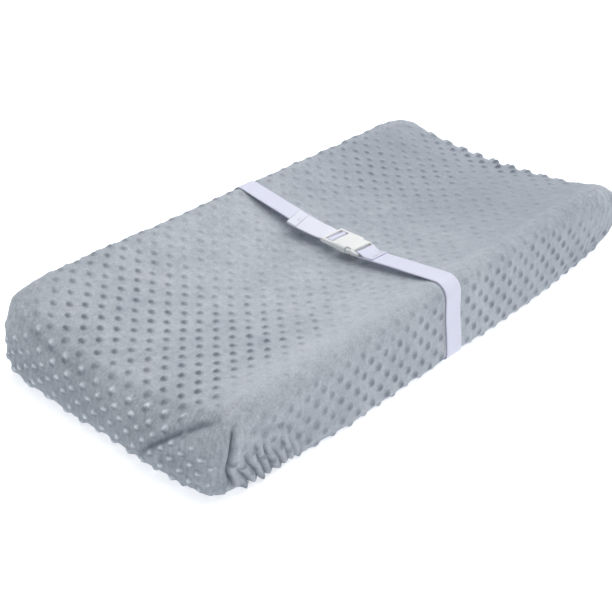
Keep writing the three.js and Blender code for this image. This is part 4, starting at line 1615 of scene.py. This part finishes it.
        round_bar = [(-34, -2.75), (-30, -2.6), (-28.6, -1.5), (-28.2, 0), (-28.6, 1.5), (-30, 2.6)]
        round_bar += [(-34, 2.75), (-38, 1.5)]
        path += [(line.world_y(a * MM), line.buckle_z + up * MM) for a, up in round_bar]
        path += [back(line.world_y(-44 * MM)), back(self.fold_y + 8 * MM), back(self.fold_y, 0.3 * MM)]
        near = self._tape("near_strap", path)
        settle(near, "pad", self.finishes.webbing, ["near_webbing"])
        lift = 0.62 * line.thickness
        rows = [self._row_across(*back(self.fold_y + at * MM, lift), 12.4 * MM) for at in (3, 5, 13, 15)]
        rows += list(zip(rows[0], rows[3], strict=True))
        stitches = Stitches().build("fold_stitches", rows, Vector((0, -slope, 1)).normalized())
        settle(stitches, "pad", self.finishes.thread, ["near_fold_stitching"])

    def _anchor(self, side: Side) -> None:
        """The vinyl patch that a strap is sewn to, and its box of stitches with a cross in it."""
        name = side.name.lower()
        low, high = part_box(f"{name}_anchor_patch")
        middle = (low + high) / 2
        run = np.linspace(low.y, high.y, 12)
        centre = np.stack([np.full_like(run, middle.x), run, np.full_like(run, middle.z)], axis=1)
        across = np.tile([1.0, 0.0, 0.0], (len(run), 1))
        patch = Tape(f"{name}_patch", centre, across, high.x - low.x, high.z - low.z).build()
        settle(patch, "pad", self.finishes.vinyl, [f"{name}_anchor_patch"])
        reach, z = 12 * MM, self.anchor_z - 0.56 * self.line.thickness
        signs = ((-1, -1), (1, -1), (1, 1), (-1, 1))
        corners = [(middle.x + sx * reach, middle.y + sy * reach, z) for sx, sy in signs]
        pairs = ((0, 1), (1, 2), (2, 3), (3, 0), (0, 2), (1, 3))
        rows = [(corners[a], corners[b]) for a, b in pairs]
        box = Stitches(gap=0.7 * MM).build(f"{name}_anchor_stitches", rows, Vector((0, 0, -1)))
        settle(box, "pad", self.finishes.thread, [f"{name}_anchor_stitching"])


# ------------------------------------------------------------------ the buckle


@dataclass(frozen=True)
class Station:
    """One cross-section of a moulded form: where it is along the strap, and its half-sizes."""

    along: float
    half_width: float
    half_height: float
    lift: float = 0.0


def moulded(stations: Sequence[Station], squareness: float = 4.5, sides: int = 40) -> Solid:
    """A closed solid through rounded cross-sections, in millimetres of the buckle's own frame.

    Args:
        stations: The sections, in order along the strap.
        squareness: 2 for ovals, and more for squarer sections.
        sides: Points round each section.

    Returns:
        The solid.
    """
    solid = bmesh.new()
    loops = []
    for at in stations:
        loop = []
        for k in range(sides):
            angle = 2 * math.pi * (k + 0.5) / sides
            cos, sin = math.cos(angle), math.sin(angle)
            x = math.copysign(abs(cos) ** (2 / squareness), cos) * at.half_width
            z = math.copysign(abs(sin) ** (2 / squareness), sin) * at.half_height + at.lift
            loop.append(solid.verts.new((x, at.along, z)))
        loops.append(loop)
    for here, after in zip(loops[:-1], loops[1:], strict=True):
        for k in range(sides):
            n = (k + 1) % sides
            solid.faces.new((here[k], here[n], after[n], after[k]))
    solid.faces.new(loops[0][::-1])
    solid.faces.new(loops[-1])
    bmesh.ops.recalc_face_normals(solid, faces=solid.faces)
    return solid


def brick(low: Point, high: Point) -> Solid:
    """A plain block between two corners."""
    solid = bmesh.new()
    bmesh.ops.create_cube(solid, size=1)
    for vert in solid.verts:
        vert.co = [low[k] + (high[k] - low[k]) * (vert.co[k] + 0.5) for k in range(3)]
    return solid


def prism(plan: Sequence[Flat], low: float, high: float) -> Solid:
    """A flat piece of the given plan, from one height to another."""
    solid = bmesh.new()
    floor = [solid.verts.new((x, y, low)) for x, y in plan]
    roof = [solid.verts.new((x, y, high)) for x, y in plan]
    solid.faces.new(floor)
    solid.faces.new(roof)
    for k in range(len(plan)):
        n = (k + 1) % len(plan)
        solid.faces.new((floor[k], floor[n], roof[n], roof[k]))
    bmesh.ops.recalc_face_normals(solid, faces=solid.faces)
    return solid


class Moulding:
    """Joins and cuts solids into one moulded piece, then rounds its edges."""

    def __init__(self, name: str, start: Solid) -> None:
        """Starts the piece from its first solid."""
        self.piece = self._object(name, start)

    @staticmethod
    def _object(name: str, solid: Solid) -> Piece:
        """Makes an object of a solid."""
        mesh = bpy.data.meshes.new(name)
        solid.to_mesh(mesh)
        solid.free()
        piece = bpy.data.objects.new(name, mesh)
        bpy.context.scene.collection.objects.link(piece)
        return piece

    def change(self, operation: str, *solids: Solid) -> "Moulding":
        """Joins (UNION) or cuts away (DIFFERENCE) solids."""
        for solid in solids:
            work = bmesh.new()
            work.from_mesh(self.piece.data)
            bmesh.ops.triangulate(work, faces=work.faces)
            work.to_mesh(self.piece.data)
            work.free()
            tool = self._object("tool", solid)
            step = self.piece.modifiers.new("change", "BOOLEAN")
            step.operation, step.solver, step.object = operation, "EXACT", tool
            apply_modifiers(self.piece)
            bpy.data.objects.remove(tool)
        return self

    def finish(self, matrix: Matrix, radius: float = 0.45) -> Piece:
        """Rounds the edges and puts the piece in place.

        Args:
            matrix: Takes the buckle's frame, in metres, to the model's.
            radius: Radius of the edges, in millimetres.

        Returns:
            The finished object.
        """
        mesh = self.piece.data
        work = bmesh.new()
        work.from_mesh(mesh)
        bmesh.ops.remove_doubles(work, verts=work.verts, dist=0.01)
        bmesh.ops.dissolve_degenerate(work, edges=work.edges, dist=0.005)
        bmesh.ops.dissolve_limit(work, angle_limit=math.radians(0.5), verts=work.verts, edges=work.edges)
        work.to_mesh(mesh)
        work.free()
        bevel = self.piece.modifiers.new("edges", "BEVEL")
        bevel.width, bevel.segments = radius, 3
        bevel.limit_method, bevel.angle_limit = "ANGLE", math.radians(38)
        bevel.harden_normals = False
        bevel.use_clamp_overlap = True
        apply_modifiers(self.piece)
        mesh = self.piece.data
        mesh.transform(matrix @ Matrix.Scale(MM, 4))
        mesh.shade_smooth()
        mesh.set_sharp_from_angle(angle=math.radians(42))
        return self.piece


@dataclass
class Buckle:
    """The side-release buckle: receiver, plug with its two sprung arms, and the adjuster's loop."""

    finishes: Finishes
    line: StrapLine = field(default_factory=StrapLine)
    # Outline of a side window and of an arm, in millimetres out from the buckle's middle line and
    # along it, for the right side.
    window: tuple[Flat, ...] = (
        (25, -11.2),
        (17.2, -11.6),
        (15.2, -13.2),
        (14.5, -16.3),
        (15.2, -19.4),
        (17.2, -21.1),
        (25, -21.5),
    )
    arm_plan: tuple[Flat, ...] = (
        (9.5, 6.9),
        (9.5, -8),
        (9.7, -16),
        (10.8, -19.2),
        (12.6, -21),
        (15.2, -21.2),
        (17.4, -20),
        (18.7, -17.6),
        (19.3, -15),
        (19.3, -13),
        (18.8, -11.7),
        (15.6, -11.6),
        (13.4, -10.4),
        (13.0, -6),
        (13.2, 6.9),
    )

    @staticmethod
    def _bar(sections: Sequence[Flat], half_width: float, lift: float) -> Solid:
        """A rounded bar across the buckle, from where its sections are and their half-heights."""
        return moulded([Station(along, half_width, half, lift) for along, half in sections], 3, 24)

    def __post_init__(self) -> None:
        """Finds the buckle's place on the strap."""
        self.place = self.line.buckle_matrix()

    def build(self) -> None:
        """Builds the closed buckle."""
        self._receiver()
        self._plug()
        for name, sign in (("left", -1), ("right", 1)):
            self._arm(name, sign)
        self._loop()

    def _receiver(self) -> None:
        """The housing: domed over its mouth, open at its sides, with a bar for the sewn strap."""
        sections = (
            (-33.6, 16.8, 2.5),
            (-32.6, 17.9, 3.2),
            (-30.0, 18.5, 3.5),
            (-25.5, 18.6, 3.9),
            (-22.5, 19.2, 4.7),
            (-18.0, 20.0, 5.4),
            (-12.0, 20.5, 5.9),
            (-4.0, 20.6, 6.0),
            (2.0, 20.6, 5.8),
            (5.6, 20.6, 5.5),
            (7.0, 20.3, 5.2),
        )
        housing = moulded([Station(*section) for section in sections])
        work = Moulding("receiver", housing)
        work.change("DIFFERENCE", brick((-18.7, -21.8, -3.4), (18.7, 9, 3.4)))
        for sign in (-1, 1):
            window = [(sign * out, along) for out, along in self.window]
            work.change("DIFFERENCE", prism(window, -9, 9))
        work.change("DIFFERENCE", brick((-15.8, -30.2, -9), (15.8, -24.5, 9)))
        for low, high in ((1.7, 9), (-9, -1.7)):
            work.change("DIFFERENCE", brick((-15.8, -36, low), (15.8, -30, high)))
        ridge = [Station(-24.2, 15, 0.6, 4.0), Station(-23.0, 15.4, 0.9, 4.5), Station(-21.8, 15, 0.6, 4.9)]
        work.change("UNION", moulded(ridge, 3, 24))
        receiver = work.finish(self.place)
        settle(receiver, "pad", self.finishes.plastic, ["buckle_receiver"])

    def _plug(self) -> None:
        """The plug's frame: cross base, rails, lock bar and outer bar."""
        base = ((7.3, 20.2, 4.4), (8.2, 20.5, 4.8), (11.5, 20.5, 4.7), (13.4, 20.2, 4.0))
        rail_sections = ((12.5, 2.25, 3.6), (20, 2.25, 3.2), (32.4, 2.2, 3.1), (33.5, 1.9, 2.7))
        work = Moulding("plug", moulded([Station(*section) for section in base], 5))
        for sign in (-1, 1):
            rail = moulded([Station(*section) for section in rail_sections], 5, 20)
            bmesh.ops.translate(rail, verts=rail.verts, vec=(sign * 18.25, 0, 0))
            work.change("UNION", rail)
        lock = self._bar(((20.9, 1.1), (21.5, 1.35), (22.8, 1.35), (23.3, 1.0)), 17, -0.55)
        outer = self._bar(((29.9, 1.4), (30.6, 1.75), (32.6, 1.75), (33.6, 1.3)), 17, 1.45)
        guide = brick((-2.6, -13, -2.6), (2.6, 8.3, 2.6))
        work.change("UNION", lock, outer, guide)
        ridge = [Station(9.2, 14, 0.5, 4.5), Station(10.4, 14.4, 0.9, 4.7), Station(11.6, 14, 0.5, 4.4)]
        work.change("UNION", moulded(ridge, 3, 24))
        settle(work.finish(self.place), "plug", self.finishes.plastic, ["buckle_plug"])

    def _arm(self, name: str, sign: int) -> None:
        """One sprung arm, bowed out to the catch that the fingers press."""
        solid = prism([(sign * x, y) for x, y in self.arm_plan], -3, 3)
        arm = Moulding(f"arm_{name}", solid).finish(self.place, 0.7)
        settle(arm, f"arm_{name}", self.finishes.plastic, [f"plug_arm_{name}"])

    def _loop(self) -> None:
        """The webbing where it turns back over the adjuster's lock bar."""
        path = [
            (34.6, -3.15), (22.4, -3.15), (20.4, -2.7), (19.2, -1.4), (19.1, 0.2), (20.1, 1.6),
            (22.1, 2.05), (24.6, 1.4), (26.6, -0.4), (28.6, -1.4), (34.6, -1.4),
        ]
        flat = smoothed(path, 0.7, 2) * MM
        centre = np.array([self.place @ Vector((0, y, z)) for y, z in flat])
        across = np.tile(np.array(self.place.to_3x3() @ Vector((1, 0, 0))), (len(centre), 1))
        loop = Tape("loop", centre, across, self.line.width, self.line.thickness).build()
        settle(loop, "plug", self.finishes.webbing, ["adjuster_loop"])


# ------------------------------------------------------------------ the studio


@dataclass
class Studio:
    """A pale floor, soft lamps and the camera."""

    camera_at: Point = (-1.054589, -0.905052, 0.838544)
    forward: Point = (0.63253403, 0.57302402, -0.52109901)
    up: Point = (0.38064747, 0.35595101, 0.85346727)
    lens: float = 68.22

    def build(self) -> None:
        """Builds everything that isn't part of the pad."""
        self._floor()
        self._world()
        self._lamp("key", (1.75, -0.35, 1.7), 2.2, 28, (1.0, 0.97, 0.98))
        self._lamp("overhead", (0.4, 0.4, 2.8), 2.6, 36, (1.0, 1.0, 0.985))
        self._camera()
        bpy.context.scene.view_settings.view_transform = "Standard"

    def _floor(self) -> None:
        """A wide, matt, nearly white floor."""
        corners = [(-6, -6, 0), (6, -6, 0), (6, 6, 0), (-6, 6, 0)]
        floor = mesh_object("floor", np.array(corners), [(0, 1, 2, 3)])
        bench = Bench("floor_paper")
        glow = {"Emission_Color": (0.97, 0.98, 1.0), "Emission_Strength": 0.6}
        matt = {"Base_Color": (0.8, 0.8, 0.805), "Roughness": 1.0, "Specular_IOR_Level": 0.0}
        put_on(floor, bench.surface(**matt, **glow))
        floor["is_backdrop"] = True

    def _world(self) -> None:
        """Even white light from all round."""
        world = bpy.data.worlds.new("studio")
        bpy.context.scene.world = world
        world.use_nodes = True
        background = world.node_tree.nodes["Background"]
        background.inputs["Color"].default_value = (0.93, 0.96, 1.0, 1)
        background.inputs["Strength"].default_value = 0.5

    def _lamp(self, name: str, place: Point, size: float, power: float, colour: Colour) -> None:
        """A square area lamp that faces the pad.

        Args:
            name: The lamp's name.
            place: Where it stands.
            size: Length of its side.
            power: Its power in watts.
            colour: Its light's colour.
        """
        light = bpy.data.lights.new(name, "AREA")
        light.size, light.energy, light.color = size, power, colour
        lamp = bpy.data.objects.new(name, light)
        lamp.location = place
        lamp.rotation_euler = (-Vector(place)).to_track_quat("-Z", "Y").to_euler()
        bpy.context.scene.collection.objects.link(lamp)
        lamp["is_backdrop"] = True

    def _camera(self) -> None:
        """The camera, looking down along the pad from its left end."""
        data = bpy.data.cameras.new("camera")
        data.lens, data.sensor_width = self.lens, 36
        camera = bpy.data.objects.new("camera", data)
        forward, up = Vector(self.forward), Vector(self.up)
        right = forward.cross(up).normalized()
        turn = Matrix((right, right.cross(forward).normalized(), -forward)).transposed()
        camera.matrix_world = Matrix.Translation(self.camera_at) @ turn.to_4x4()
        bpy.context.scene.collection.objects.link(camera)
        bpy.context.scene.camera = camera


def write_sizes() -> None:
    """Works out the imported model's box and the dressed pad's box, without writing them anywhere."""
    boxes = {"cad": CAD_BOX, "visual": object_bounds()}
    boxes = {name: [list(corner) for corner in box] for name, box in boxes.items()}


def main() -> None:
    """Builds the pad from the inside out, then the studio round it."""
    finishes = Finishes.build()
    _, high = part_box("plush_cover")
    form = PadForm(half_length=high.x, half_width=high.y)
    Inner(form, finishes).build()
    Hem(form, finishes).build()
    Cover(form, finishes).build()
    Strap(form, finishes).build()
    Buckle(finishes).build()
    Studio().build()
    write_sizes()


if __name__ == "__main__":
    logging.basicConfig(level=logging.INFO, format="%(message)s")
    main()
